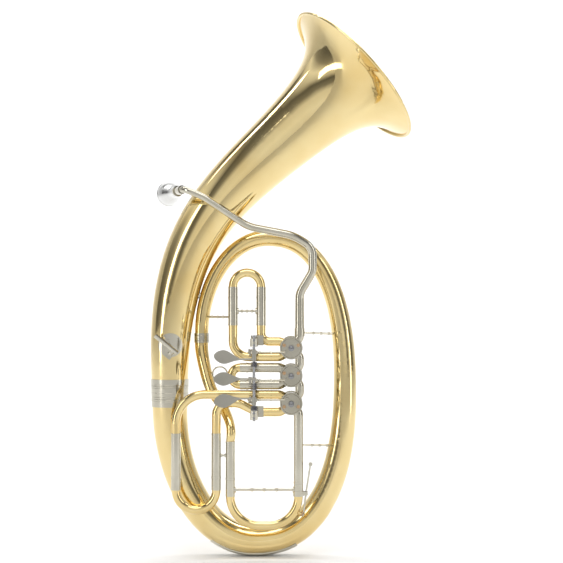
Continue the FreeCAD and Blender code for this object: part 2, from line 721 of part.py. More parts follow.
# Water key nipple: a short tube that stands on the outside of the main bow's right corner.
NIPPLE_ANGLE = math.radians(28)
NIPPLE_WAY = Vec(math.cos(NIPPLE_ANGLE), 0, -math.sin(NIPPLE_ANGLE))
NIPPLE_ROOT = at(MAIN_RIGHT_X - MAIN_BOW_R, MAIN_BOW_Z) + NIPPLE_WAY * MAIN_BOW_R
NIPPLE_LENGTH = 10.5
NIPPLE_R = 2.8
nipple_end = NIPPLE_ROOT + NIPPLE_WAY * NIPPLE_LENGTH
main_bow = rod_along(main_bow_path, LEG_R).fuse(bar(NIPPLE_ROOT, nipple_end, NIPPLE_R))
main_bow = main_bow.cut(rod_along(main_bow_path, BORE_R))
main_bow = main_bow.cut(bar(NIPPLE_ROOT, nipple_end + NIPPLE_WAY, NIPPLE_R - 1))
save("main_slide_bow", main_bow)


# ---------------------------------------------------------------- rotors, rods and levers
ROTOR_FRONT = casing_front + 2 + GAP
ROTOR_BACK = casing_back - 2 - GAP
passage_centre = ROTOR_R * math.sqrt(2)


def rotor(height):
    """The turning core: two bent passages, a front spindle and a rear spindle."""
    body = valve_cylinder(height, ROTOR_FRONT, ROTOR_BACK, ROTOR_R)
    for side in (-1, 1):
        centre = Vec(side * passage_centre, VALVE_DEPTH, height)
        body = body.cut(Part.makeTorus(ROTOR_R, PASSAGE_R, centre, BACK))
    body = body.fuse(valve_cylinder(height, ARM_FRONT - 0.8, ROTOR_FRONT, SPINDLE_R))
    return body.fuse(valve_cylinder(height, ROTOR_BACK, casing_back + 2, SPINDLE_R))


def stop_arm(height, side):
    """The arm on the front spindle: boss, finger with the rod's pin, and a counter wing."""
    pin = Vec(-PIN_OFFSET, 0, height + side * PIN_OFFSET)
    hub = Vec(0, 0, height)
    body = valve_cylinder(height, ARM_FRONT, ARM_BACK, SPINDLE_R + 2.4)
    finger = block((0, ARM_FRONT, -2.6), (PIN_RADIUS, ARM_BACK, 2.6))
    finger = finger.fuse(bar(Vec(PIN_RADIUS, ARM_FRONT, 0), Vec(PIN_RADIUS, ARM_BACK, 0), 2.6))
    wing = block((-CORK_REACH, ARM_FRONT, -1.6), (0, ARM_BACK, 1.6))
    body_local = finger.fuse(wing)
    body_local.Placement = FreeCAD.Placement(hub, FreeCAD.Rotation(BACK, 180 + side * 45))
    body = body.fuse(body_local)
    pin_front = ROD_DEPTH - EYE_HALF - 1.2
    body = body.fuse(bar(Vec(pin.x, pin_front, pin.z), Vec(pin.x, ARM_BACK, pin.z), PIN_R))
    return body.cut(valve_cylinder(height, ARM_FRONT - 1, ARM_BACK + 1, SPINDLE_R))


EYE_HALF = 1.6
CORK_REACH = 11.0
STUD_R = 1.3
STUD_PLAY = 0.95
STUD_DROP = PIN_RADIUS - PIN_OFFSET + EYE_HALF + 1.0
CRANK_OFFSET = EYE_HALF + GAP + 0.2
CRANK_HALF = 1.3


def link_rod(height):
    """A rod with a flat eye on the valve's pin and a round eye on the lever's stud."""
    valve_eye = Vec(-PIN_OFFSET, ROD_DEPTH, height)
    crank_eye = Vec(AXLE_X - PIN_OFFSET, ROD_DEPTH, height)
    body = bar(valve_eye, crank_eye, ROD_R)
    body = body.fuse(bar(valve_eye - BACK * EYE_HALF, valve_eye + BACK * EYE_HALF, EYE_R))
    body = body.fuse(bar(crank_eye - UP * EYE_HALF, crank_eye + UP * EYE_HALF, EYE_R + 0.3))
    body = body.cut(bar(valve_eye - BACK * 5, valve_eye + BACK * 5, PIN_R + SLIDE_FIT))
    return body.cut(bar(crank_eye - UP * 5, crank_eye + UP * 5, STUD_R + STUD_PLAY))


def paddle(height, lean):
    """A drop-shaped touch plate that narrows into the arm."""
    tip = PADDLE_TIP_X + PADDLE_R
    neck_x = AXLE_X - 20
    outline = Part.BSplineCurve()
    outline.interpolate([
        Vec(neck_x, 0, 1.5), Vec(tip + 17, 0, PADDLE_R * 0.55), Vec(tip + 3, 0, PADDLE_R),
        Vec(PADDLE_TIP_X, 0, 0), Vec(tip + 3, 0, -PADDLE_R), Vec(tip + 17, 0, -PADDLE_R * 0.55),
        Vec(neck_x, 0, -1.5)])
    neck = Part.LineSegment(Vec(neck_x, 0, -1.5), Vec(neck_x, 0, 1.5)).toShape()
    face = Part.Face(Part.Wire([outline.toShape(), neck]))
    plate = face.extrude(Vec(0, PADDLE_THICK, 0))
    plate.translate(Vec(0, -PADDLE_THICK / 2, 0))
    turn = FreeCAD.Placement(Vec(0, 0, 0), FreeCAD.Rotation(BACK, lean), Vec(neck_x, 0, 0))
    plate.Placement = turn
    plate.translate(Vec(0, AXLE_DEPTH, height))
    return plate


def lever(height, rod_height, side, lean):
    """Hub on the axle, arm with its touch plate, and the crank that drives the rod."""
    crank_level = rod_height - side * (CRANK_OFFSET + CRANK_HALF)
    low = min(height, crank_level) - 2.0
    high = max(height, crank_level) + 2.0
    axle_point = Vec(AXLE_X, AXLE_DEPTH, 0)
    body = bar(axle_point + UP * low, axle_point + UP * high, HUB_R)
    arm_end = Vec(AXLE_X - 22, AXLE_DEPTH, height)
    body = body.fuse(bar(Vec(AXLE_X, AXLE_DEPTH, height), arm_end, ARM_R))
    body = body.fuse(paddle(height, lean))
    knee = Vec(AXLE_X, AXLE_DEPTH, crank_level)
    stud_top = Vec(AXLE_X - PIN_OFFSET, ROD_DEPTH, crank_level)
    body = body.fuse(bar(knee, stud_top, CRANK_HALF))
    body = body.fuse(bar(stud_top - UP * CRANK_HALF, stud_top + UP * CRANK_HALF, 2.6))
    drop = UP * (side * (STUD_DROP + CRANK_OFFSET + CRANK_HALF))
    body = body.fuse(bar(stud_top, stud_top + drop, STUD_R))
    return body.cut(bar(axle_point + UP * -200, axle_point + UP * 200, AXLE_R + AXLE_FIT))


for number, (height, rod_height, side) in enumerate(zip(VALVE_HEIGHTS, ROD_HEIGHTS, PIN_SIDES), 1):
    save("rotor_%d" % number, rotor(height))
    save("stop_arm_%d" % number, stop_arm(height, side))
    save("link_rod_%d" % number, link_rod(rod_height))

LEVER_LEANS = (8.0, 0.0, -8.0)
for number, (height, rod_height, side, lean) in enumerate(
        zip(LEVER_HEIGHTS, ROD_HEIGHTS, PIN_SIDES, LEVER_LEANS), 1):
    shape = lever(height, rod_height, side, lean)
    save("lever_%d" % number, shape)

AXLE_TOP = 57.0
AXLE_LOW = -62.0
axle_low_end = Vec(AXLE_X, AXLE_DEPTH, AXLE_LOW)
axle_top_end = Vec(AXLE_X, AXLE_DEPTH, AXLE_TOP)
axle = bar(axle_low_end, axle_top_end, AXLE_R)
axle = axle.fuse(bar(axle_top_end, axle_top_end + UP * 2.2, AXLE_R + 1.6))
screw_slot = block((AXLE_X - 5, AXLE_DEPTH - 0.4, AXLE_TOP + 1.2),
                   (AXLE_X + 5, AXLE_DEPTH + 0.4, AXLE_TOP + 3))
axle = axle.cut(screw_slot)
save("lever_axle", axle)


def bracket(low, high, foot_low, foot_high, tube):
    """An ear on the axle with a post back to the tube it is soldered to."""
    ear = bar(Vec(AXLE_X, AXLE_DEPTH, low), Vec(AXLE_X, AXLE_DEPTH, high), AXLE_R + 3.4)
    post = block((AXLE_X - 5.4, AXLE_DEPTH, low + 1), (AXLE_X + 5.4, VALVE_DEPTH - 3, high - 1))
    foot = block((AXLE_X - 5.4, VALVE_DEPTH - ELBOW_R - 4, foot_low),
                 (AXLE_X + 13, VALVE_DEPTH, foot_high))
    body = ear.fuse(post).fuse(foot)
    body = body.cut(rod_along(tube, ELBOW_R))
    body = body.cut(bar(axle_low_end - UP * 5, axle_top_end + UP * 5, AXLE_R))
    return max(body.Solids, key=lambda solid: solid.Volume)


save("lever_brackets", group(
    bracket(43.5, 54.5, 43.5, 58.0, first_right_elbow),
    bracket(-60.0, -47.5, -60.0, -44.0, third_lower)))


def coil_spring(low, high, turns):
    """A torsion spring wound round a hub."""
    radius = HUB_R + GAP + SPRING_WIRE_R
    helix = Part.makeHelix((high - low) / turns, high - low, radius)
    start = helix.Edges[0].valueAt(helix.Edges[0].FirstParameter)
    heading = helix.Edges[0].tangentAt(helix.Edges[0].FirstParameter)
    profile = Part.Wire(Part.Circle(start, heading, SPRING_WIRE_R).toShape())
    spring = Part.Wire(helix).makePipeShell([profile], True, True)
    spring.translate(Vec(AXLE_X, AXLE_DEPTH, low))
    return spring


SPRING_TURNS = 5
SPRING_SPANS = ((14.5, 21.5), (-18.0, -9.0), (-46.5, -40.5))
springs = [coil_spring(low, high, SPRING_TURNS) for low, high in SPRING_SPANS]
save("lever_springs", group(*springs))

CORK_R = 2.4
corks = []
for height, side in zip(VALVE_HEIGHTS, PIN_SIDES):
    for turn in (45, 135):
        way = math.radians(turn)
        rest = Vec(math.cos(way), 0, -side * math.sin(way))
        swing = Vec(-math.sin(way), 0, -side * math.cos(way)) * (1 if turn == 45 else -1)
        touch = Vec(0, 0, height) + rest * (CORK_REACH - 1) + swing * -1 * (1.6 + CORK_R + 0.25)
        corks.append(bar(Vec(touch.x, ARM_FRONT, touch.z), Vec(touch.x, PLATE_FRONT, touch.z), CORK_R))
save("cork_bumpers", group(*corks))


# ---------------------------------------------------------------- leadpipe and mouthpiece
MOUTHPIECE_AXIS = unit(Vec(-0.303, 0.953, -0.026))
PIPE_BEND = Vec(-154.0, LEADPIPE_FORWARD, 269.0)
PIPE_END = PIPE_BEND + MOUTHPIECE_AXIS * 20
pipe_corners = [
    at(PORT_X, VALVE_PITCH + 26), at(PORT_X, 118), at(31, 150), at(31, 185),
    Vec(3, -43, 202), Vec(-62, LEADPIPE_FORWARD, 214.5), Vec(-125, LEADPIPE_FORWARD, 256.5),
    PIPE_BEND, PIPE_END]
pipe_path = rounded_path(pipe_corners, [26, 24, 22, 70, 60, 80, 15])
entry_top = at(PORT_X, VALVE_PITCH + 26)


def tapered_pipe():
    count = 64
    points = pipe_path.discretize(count + 1)
    if (points[0] - entry_top).Length > 1:
        points.reverse()
    headings = headings_of(points, UP, MOUTHPIECE_AXIS)
    radii = [LEADPIPE_WIDE_R + (LEADPIPE_NARROW_R - LEADPIPE_WIDE_R) * i / count for i in range(count + 1)]
    return hollow_cone(points, headings, radii, LEADPIPE_WALL), cone_along(points, headings, radii)


leadpipe, leadpipe_solid = tapered_pipe()
stub_path = rounded_path(LEADPIPE_ENTRY + [entry_top], [8.0])
leadpipe_stub = tube_along(stub_path, LEADPIPE_WIDE_R, BORE_R).cut(casing_block)
save("leadpipe", leadpipe)
FERRULE_FOOT = at(PORT_X, 50.5)
stub_ferrule = pipe(FERRULE_FOOT + UP * 6, FERRULE_FOOT + UP * 17.5,
                    LEADPIPE_WIDE_R + 0.8, LEADPIPE_WIDE_R + 0.02)

receiver_mouth = PIPE_END + MOUTHPIECE_AXIS * (RECEIVER_LENGTH - 8)
receiver_foot = PIPE_END - MOUTHPIECE_AXIS * 6
receiver = bar(receiver_foot, receiver_mouth, RECEIVER_R)
receiver = receiver.fuse(bar(receiver_mouth - MOUTHPIECE_AXIS * 4, receiver_mouth, RECEIVER_R + 1.6))
receiver = receiver.cut(leadpipe_solid)
shank_room = bar(PIPE_END - MOUTHPIECE_AXIS * 7, receiver_mouth + MOUTHPIECE_AXIS, SHANK_R + SLIDE_FIT)
receiver = receiver.cut(shank_room)
save("mouthpiece_receiver", receiver)


def mouthpiece():
    """Shank, cup and cushion rim, turned about its own axis with the receiver's mouth at zero."""
    insert = -min(SHANK_INSERT, RECEIVER_LENGTH - 10)
    reach = MOUTHPIECE_REACH
    rim = MOUTHPIECE_RIM_R
    outside = Part.BSplineCurve()
    outside.interpolate([Vec(SHANK_R, 0, 4), Vec(SHANK_R + 0.7, 0, 16), Vec(SHANK_R + 2.6, 0, 26),
                         Vec(rim * 0.72, 0, 36), Vec(rim * 0.92, 0, 46), Vec(rim * 0.95, 0, reach - 8)])
    inside = Part.BSplineCurve()
    inside.interpolate([Vec(rim * 0.68, 0, reach - 3), Vec(rim * 0.62, 0, reach - 12),
                        Vec(rim * 0.4, 0, reach - 21), Vec(3.3, 0, reach - 29)])
    rim_outer = Part.Arc(Vec(rim, 0, reach - 5), Vec(rim - 1.6, 0, reach - 1.2), Vec(rim * 0.83, 0, reach))
    cup_edge = Vec(rim * 0.68, 0, reach - 3)
    rim_inner = Part.Arc(Vec(rim * 0.83, 0, reach), Vec(rim * 0.73, 0, reach - 0.8), cup_edge)
    edges = [
        Part.LineSegment(Vec(SHANK_R - 1.2, 0, insert), Vec(SHANK_R, 0, insert)).toShape(),
        Part.LineSegment(Vec(SHANK_R, 0, insert), Vec(SHANK_R, 0, 4)).toShape(),
        outside.toShape(),
        Part.LineSegment(Vec(rim * 0.95, 0, reach - 8), Vec(rim, 0, reach - 7)).toShape(),
        Part.LineSegment(Vec(rim, 0, reach - 7), Vec(rim, 0, reach - 5)).toShape(),
        rim_outer.toShape(),
        rim_inner.toShape(),
        inside.toShape(),
        Part.LineSegment(Vec(3.3, 0, reach - 29), Vec(SHANK_R - 1.2, 0, insert)).toShape(),
    ]
    body = Part.Face(Part.Wire(edges)).revolve(Vec(0, 0, 0), UP, 360)
    body.Placement = FreeCAD.Placement(receiver_mouth, FreeCAD.Rotation(UP, MOUTHPIECE_AXIS))
    return body


save("mouthpiece", mouthpiece())


# ---------------------------------------------------------------- braces and small fittings
def turned_rod(start, end, radius):
    """A rod with three round beads, turned about the line from start to end."""
    span = (end - start).Length
    bead_half = radius * 1.2
    edges = [Part.LineSegment(Vec(0, 0, 0), Vec(radius, 0, 0)).toShape()]
    level = 0.0
    for share in (0.32, 0.5, 0.68):
        low = span * share - bead_half
        high = span * share + bead_half
        edges.append(Part.LineSegment(Vec(radius, 0, level), Vec(radius, 0, low)).toShape())
        crown = Vec(radius * 1.6, 0, span * share)
        edges.append(Part.Arc(Vec(radius, 0, low), crown, Vec(radius, 0, high)).toShape())
        level = high
    edges.append(Part.LineSegment(Vec(radius, 0, level), Vec(radius, 0, span)).toShape())
    edges.append(Part.LineSegment(Vec(radius, 0, span), Vec(0, 0, span)).toShape())
    edges.append(Part.LineSegment(Vec(0, 0, span), Vec(0, 0, 0)).toShape())
    rod = Part.Face(Part.Wire(edges)).revolve(Vec(0, 0, 0), UP, 360)
    rod.Placement = FreeCAD.Placement(start, FreeCAD.Rotation(UP, end - start))
    return rod


def brace(start, end, clear_of, radius=BRACE_R, foot_reach=0.0):
    """A turned rod between two tubes, with its ends shaped to them, and a foot at each end."""
    way = unit(end - start)
    body = turned_rod(start, end, radius)
    if foot_reach > 0:
        body = body.fuse(bar(start, start + way * foot_reach, FLANGE_R))
        body = body.fuse(bar(end - way * foot_reach, end, FLANGE_R))
    for tube in clear_of:
        body = body.cut(tube)
    return max(body.Solids, key=lambda solid: solid.Volume)


def oval_solid_near(point, reach):
    """The solid shape of the oval near a point, for seating a fitting on it."""
    near = min(range(len(oval_line)), key=lambda index: (oval_line[index] - point).Length)
    middle = oval_places[near]
    begin = max(middle - reach, 0)
    end = min(middle + reach, OVAL_END)
    points, headings, places = oval_sections(begin, end, 12.0)
    return cone_along(points, headings, [oval_radius(place) for place in places])


def side_brace(start, height, level):
    """A brace from a slide or pipe, out and back to the oval's right side."""
    target = min(oval_line[60:], key=lambda point: abs(point.z - height) + (1000 if point.x < 0 else 0))
    return brace(start, target, [oval_solid_near(target, 36), level])


ferrule_block = bar(FERRULE_FOOT, FERRULE_FOOT + UP * 20, LEADPIPE_WIDE_R + 0.82)
main_right_block = bar(at(MAIN_RIGHT_X, -60), at(MAIN_RIGHT_X, MAIN_RING_RIGHT_Z), OUTER_LEG_R + 0.02)
UPPER_BRACE_Z = 61.5
LOWER_BRACE_Z = -101.0
save("right_braces", group(
    side_brace(at(PORT_X, UPPER_BRACE_Z), UPPER_BRACE_Z - 4, ferrule_block),
    side_brace(at(MAIN_RIGHT_X, LOWER_BRACE_Z), LOWER_BRACE_Z - 2, main_right_block)))

FIRST_BRACE_Z = 92.7
SIDE_BRACE_Z = 84.0
first_left_block = bar(at(FIRST_LEFT_X, FIRST_FOOT_Z), at(FIRST_LEFT_X, FIRST_RING_Z), OUTER_LEG_R + 0.02)
first_right_block = bar(at(FIRST_RIGHT_X, FIRST_FOOT_Z), at(FIRST_RIGHT_X, FIRST_RING_Z), OUTER_LEG_R + 0.02)
inner_target = min(oval_line[:40], key=lambda point: abs(point.z - SIDE_BRACE_Z))
save("left_braces", group(
    brace(at(FIRST_LEFT_X, FIRST_BRACE_Z), at(FIRST_RIGHT_X, FIRST_BRACE_Z),
          [first_left_block, first_right_block], BRACE_R, OUTER_LEG_R + 1.4),
    brace(at(FIRST_LEFT_X, SIDE_BRACE_Z), inner_target,
          [first_left_block, oval_solid_near(inner_target, 30)])))

SMALL_BRACE_Z = -116.0
third_block = bar(at(THIRD_RIGHT_X, THIRD_FOOT_Z), at(THIRD_RIGHT_X, THIRD_RING_Z), OUTER_LEG_R + 0.02)
main_left_block = bar(at(MAIN_LEFT_X, MAIN_FOOT_Z), at(MAIN_LEFT_X, MAIN_RING_LEFT_Z), OUTER_LEG_R + 0.02)
SMALL_BRACE_R = 1.6
SMALL_FOOT_R = 2.6
SMALL_FOOT_REACH = 8.6
third_end = at(THIRD_RIGHT_X, SMALL_BRACE_Z)
main_end = at(MAIN_LEFT_X, SMALL_BRACE_Z)
small_brace = bar(third_end, main_end, SMALL_BRACE_R)
small_brace = small_brace.fuse(bar(third_end, third_end + ACROSS * SMALL_FOOT_REACH, SMALL_FOOT_R))
small_brace = small_brace.fuse(bar(main_end - ACROSS * SMALL_FOOT_REACH, main_end, SMALL_FOOT_R))
save("small_brace", small_brace.cut(third_block).cut(main_left_block))

MAIN_BRACE_Z = -165.5
main_sleeves = [bar(at(x, MAIN_BOW_Z), at(x, MAIN_RING_LEFT_Z), OUTER_LEG_R)
                for x in (MAIN_LEFT_X, MAIN_RIGHT_X)]
main_brace = brace(at(MAIN_LEFT_X, MAIN_BRACE_Z), at(MAIN_RIGHT_X, MAIN_BRACE_Z), main_sleeves, 1.8,
                   OUTER_LEG_R + 1.4)
save("main_slide_brace", main_brace)

# A short bridge joins the bell branch and the oval where they pass close to each other.
BRIDGE_Z = 129.0
bridge_bell = min(bell_points[1:], key=lambda point: abs(point.z - BRIDGE_Z))
bridge_oval = min(oval_line[:60], key=lambda point: (point - bridge_bell).Length)
bridge = bar(bridge_bell, bridge_oval, 4.5).cut(oval_solid_near(bridge_oval, 30))
bell_stem_solid = cone_along(bell_points[:14], bell_headings[:14],
                             [bell_radius(place) for place in bell_places[:14]])
bridge = bridge.cut(bell_stem_solid)
bridge = bridge.cut(pieces["top_branch"])
save("branch_bridge", max(bridge.Solids, key=lambda solid: solid.Volume))

# Leadpipe fittings: the ferrule above the first valve and the saddle on the bell branch.
saddle_point = Vec(-84.5, LEADPIPE_FORWARD, 229.0)
pipe_near = min(pipe_path.discretize(200), key=lambda point: (point - saddle_point).Length)
saddle = bar(pipe_near, Vec(pipe_near.x - 6, -20, pipe_near.z + 4), 5.0)
saddle = saddle.cut(leadpipe_solid)
bell_whole_solid = cone_along(bell_points, bell_headings, [bell_radius(place) for place in bell_places])
saddle = saddle.cut(bell_whole_solid)
save("leadpipe_fittings", group(leadpipe_stub, stub_ferrule, max(saddle.Solids, key=lambda s: s.Volume)))

# Thumb ring on the tail branch.
ring_middle = Vec(-104.0, -14.0, 0.0)
thumb_ring = Part.makeTorus(THUMB_RING_R, THUMB_RING_WIRE, ring_middle, BACK)
ring_foot = bar(ring_middle - ACROSS * (THUMB_RING_R - 0.6), Vec(-124.5, -9.5, 0), 2.2)
save("thumb_ring", thumb_ring.fuse(ring_foot).cut(tail_solid).removeSplitter())

# Lyre holder: a plate that lies on the bell branch, a socket tube across it and a thumb screw.
LYRE_MIDDLE = Vec(-181.0, 0, 44.5)
plate_skin = bell_skin(0.02, 1.1, 0, 8)
plate_cut = bar(Vec(-175.5, -60, 43.0), Vec(-175.5, -8, 43.0), LYRE_PLATE_R)
lyre_plate = plate_skin.common(plate_cut)
save("lyre_plate", max(lyre_plate.Solids, key=lambda solid: solid.Volume))
socket_way = unit(Vec(0.773, 0, -0.634))
socket_middle = Vec(LYRE_MIDDLE.x, -bell_radius(bell_places[3]) - 1.1 - LYRE_SOCKET_R - 0.8, LYRE_MIDDLE.z)
socket_low = socket_middle - socket_way * (LYRE_SOCKET_LENGTH / 2)
socket_high = socket_middle + socket_way * (LYRE_SOCKET_LENGTH / 2)
SCREW_WAY = Vec(socket_way.z, 0, -socket_way.x)
screw_root = socket_middle + socket_way * (LYRE_SOCKET_LENGTH / 2 - 7)
SCREW_R = 1.5
boss = bar(screw_root, screw_root + SCREW_WAY * (LYRE_SOCKET_R + 2.2), 2.8)
lyre_post = block((LYRE_MIDDLE.x - 4, socket_middle.y, LYRE_MIDDLE.z - 7),
                  (LYRE_MIDDLE.x + 4, -15, LYRE_MIDDLE.z + 7))
lyre_post = lyre_post.cut(bell_skin(-12, 1.1, 0, 8))
lyre_post = max(lyre_post.Solids, key=lambda solid: -solid.CenterOfMass.y)
socket = bar(socket_low, socket_high, LYRE_SOCKET_R).fuse(boss).fuse(lyre_post)
socket = socket.cut(bar(socket_low - socket_way, socket_high + socket_way, LYRE_BORE_R))
socket = socket.cut(bar(screw_root, screw_root + SCREW_WAY * 12, SCREW_R + SLIDE_FIT))
save("lyre_socket", socket)
screw = bar(screw_root + SCREW_WAY * (LYRE_BORE_R + 0.3), screw_root + SCREW_WAY * 10, SCREW_R)
screw = screw.fuse(bar(screw_root + SCREW_WAY * 6.4, screw_root + SCREW_WAY * 8.4, 3.2))
wing = block((-4.6, -0.8, 8.0), (4.6, 0.8, 14.5))
wing.Placement = FreeCAD.Placement(screw_root, FreeCAD.Rotation(UP, SCREW_WAY))
save("lyre_screw", screw.fuse(wing))

# Water key on the main slide's right leg.
KEY_PIVOT = Vec(MAIN_RIGHT_X + 11.0, VALVE_DEPTH, MAIN_BOW_Z + 4.5)
KEY_PIN_R = 1.0
clip = pipe(at(MAIN_RIGHT_X, KEY_PIVOT.z - 4), at(MAIN_RIGHT_X, KEY_PIVOT.z + 3.5),
            OUTER_LEG_R + 1.0, OUTER_LEG_R + 0.01)
clip = clip.cut(main_brace)
for side in (-1, 1):
    ear = block((MAIN_RIGHT_X + OUTER_LEG_R - 1.5, VALVE_DEPTH + side * 5 - 0.8, KEY_PIVOT.z - 2.6),
                (KEY_PIVOT.x + 2.6, VALVE_DEPTH + side * 5 + 0.8, KEY_PIVOT.z + 2.6))
    clip = clip.fuse(ear.cut(main_sleeves[1]))
pin_half = BACK * 6.6
clip = clip.fuse(bar(KEY_PIVOT - pin_half, KEY_PIVOT + pin_half, KEY_PIN_R))
save("water_key_saddle", clip)
PAD_GAP = 0.02
pad_seat = nipple_end + NIPPLE_WAY * PAD_GAP
cork_back = pad_seat + NIPPLE_WAY * 2.4
save("water_key_cork", bar(pad_seat, cork_back, NIPPLE_R + 0.9))
cup = bar(cork_back, cork_back + NIPPLE_WAY * 1.6, NIPPLE_R + 1.3)
key = cup.fuse(bar(cork_back + NIPPLE_WAY * 0.8, Vec(KEY_PIVOT.x, VALVE_DEPTH, KEY_PIVOT.z - 1.2), 1.3))
touch_end = Vec(KEY_PIVOT.x + 6.5, VALVE_DEPTH, KEY_PIVOT.z + 42)
key = key.fuse(bar(Vec(KEY_PIVOT.x, VALVE_DEPTH, KEY_PIVOT.z), touch_end, 1.3))
key = key.fuse(bar(touch_end - BACK * 2.2, touch_end + BACK * 2.2, 3.0))
key = key.fuse(bar(KEY_PIVOT - BACK * 3.8, KEY_PIVOT + BACK * 3.8, 2.4))
save("water_key", key.cut(bar(KEY_PIVOT - BACK * 9, KEY_PIVOT + BACK * 9, KEY_PIN_R + AXLE_FIT)))

# Screws that hold the lever brackets' caps.
screw_heads = []
for x, z in ((AXLE_X, 52.6), (AXLE_X, 45.4), (AXLE_X, -50.0), (AXLE_X, -57.5)):
    front = AXLE_DEPTH - AXLE_R - 3.4
    head = bar(Vec(x, front - 1.2, z), Vec(x, front + 0.05, z), 1.9)
    head = head.cut(block((x - 3, front - 2, z - 0.25), (x + 3, front - 0.7, z + 0.25)))
    screw_heads.append(head.cut(pieces["lever_brackets"]))
save("bracket_screws", group(*screw_heads))


# ---------------------------------------------------------------- move to the frame and write
bounds = FreeCAD.BoundBox()
for shape in pieces.values():
    bounds.add(shape.optimalBoundingBox(False, False))
FRAME_SHIFT = Vec(-bounds.Center.x, -bounds.Center.y, -bounds.ZMin)
for name, shape in pieces.items():
    shape.translate(FRAME_SHIFT)
    shape.exportStep("parts/%s.step" % name)
print(len(pieces), "pieces", [round(v, 1) for v in (bounds.XLength, bounds.YLength, bounds.ZLength)])
print("lever stroke", round(LEVER_STROKE, 2), "shift", [round(v, 3) for v in FRAME_SHIFT])
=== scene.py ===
# %% [markdown]
# # A tenor horn in lacquered brass
# The instrument comes packed from its drawing: tubes, bows, rotors, levers and slides are
# already true to size.  This lesson gives them the finishes that a maker gives the real horn,
# adds the small worked parts that a hand and an eye notice, and lights it as on a studio table.

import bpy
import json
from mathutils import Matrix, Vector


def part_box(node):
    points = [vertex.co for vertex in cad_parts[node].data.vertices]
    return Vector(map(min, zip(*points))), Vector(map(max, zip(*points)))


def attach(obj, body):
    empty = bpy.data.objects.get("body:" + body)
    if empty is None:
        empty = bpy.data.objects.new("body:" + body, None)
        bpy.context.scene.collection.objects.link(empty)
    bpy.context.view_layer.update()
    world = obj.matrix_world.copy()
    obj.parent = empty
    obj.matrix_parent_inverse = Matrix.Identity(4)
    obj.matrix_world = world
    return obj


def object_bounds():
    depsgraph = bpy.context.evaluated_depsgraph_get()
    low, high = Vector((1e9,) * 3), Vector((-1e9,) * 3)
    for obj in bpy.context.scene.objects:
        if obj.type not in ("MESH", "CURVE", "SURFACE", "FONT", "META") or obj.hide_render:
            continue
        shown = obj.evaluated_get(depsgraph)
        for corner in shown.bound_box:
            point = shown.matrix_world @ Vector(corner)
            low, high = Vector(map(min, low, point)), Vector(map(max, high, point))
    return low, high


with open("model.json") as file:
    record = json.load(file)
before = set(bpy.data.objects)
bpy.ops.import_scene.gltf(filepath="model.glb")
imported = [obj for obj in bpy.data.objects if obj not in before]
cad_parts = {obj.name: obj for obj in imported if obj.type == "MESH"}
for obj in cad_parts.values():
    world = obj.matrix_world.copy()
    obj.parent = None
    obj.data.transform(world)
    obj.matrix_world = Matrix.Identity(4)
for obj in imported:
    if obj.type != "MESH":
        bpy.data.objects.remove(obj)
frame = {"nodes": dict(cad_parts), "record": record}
cad_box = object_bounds()
print("the packed horn measures", cad_box)

# %% [markdown]
# ## What each piece is made of
# The record that came with the pieces says which material slot each one uses and which
# moving body it belongs to.  Two dictionaries keep that at hand for the steps that look it up.

# %% Read slots and bodies from the record
import json
import math
import bmesh
import bpy
from mathutils import Matrix, Vector

record = frame["record"]
slot_of = {part["node"]: part["material_slot"] for part in record["subparts"]}
body_of = {node: body for body, nodes in record["behaviour"]["bodies"].items() for node in nodes}
print("slots in use:", sorted(set(slot_of.values())))

# %% [markdown]
# ## Where things are
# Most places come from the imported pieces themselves: a node's box gives its centre and its
# size.  A box also takes in whatever stands proud, so its front isn't always the surface that
# is wanted.  Only the screw of the leadpipe's foot and the guard's rivet use heights of their
# own.

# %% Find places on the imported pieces
def middle_of(node):
    low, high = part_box(node)
    return (Vector(low) + Vector(high)) / 2


def size_of(node):
    low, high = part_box(node)
    return Vector(high) - Vector(low)


horn_low, horn_high = (Vector(corner) for corner in cad_box)
horn_middle = (horn_low + horn_high) / 2
valve_axis_x = middle_of("rotor_2").x
valve_heights = [middle_of("rotor_%d" % number).z for number in (1, 2, 3)]
print("valve axes at", [round(height, 4) for height in valve_heights])

# %% [markdown]
# ## Hand polish, shared by every metal
# A buffed tube is a mirror with very faint waves and fine hairlines left by the wheel.  One
# could paint this into an image; a node group keeps it procedural, so that each metal can
# ask for its own strength.  It gives out a roughness and a normal, both of which change over
# the surface.

# %% Make helpers for node groups
def new_group(name, inputs, outputs):
    group = bpy.data.node_groups.new(name, "ShaderNodeTree")
    for label, kind, value in inputs:
        socket = group.interface.new_socket(label, in_out="INPUT", socket_type=kind)
        if value is not None:
            socket.default_value = value
    for label, kind in outputs:
        group.interface.new_socket(label, in_out="OUTPUT", socket_type=kind)
    return group, group.nodes.new("NodeGroupInput"), group.nodes.new("NodeGroupOutput")


def add_noise(group, vector, scale, detail):
    noise = group.nodes.new("ShaderNodeTexNoise")
    noise.inputs["Detail"].default_value = detail
    group.links.new(vector, noise.inputs["Vector"])
    if isinstance(scale, (int, float)):
        noise.inputs["Scale"].default_value = scale
    else:
        group.links.new(scale, noise.inputs["Scale"])
    return noise.outputs["Fac"]


print("helpers for node groups are ready")

# %% [markdown]
# The polish multiplies a hairline noise, drawn out along the height, by a soft cloud.  Their
# product runs from smooth to dull; a third, slow noise bends the surface a little.  One noise
# alone would look like sand, so two scales are mixed.

# %% Build the polish group
HAIRLINE_STRETCH = (1.0, 1.0, 0.08)
CLOUD_SCALE, CLOUD_DETAIL = 22.0, 4.0
WAVE_SCALE, WAVE_DETAIL = 9.0, 1.0
HAIRLINE_DETAIL = 3.0
PRODUCT_LOW, PRODUCT_HIGH = 0.15, 0.42
WAVE_HEIGHT = 0.002


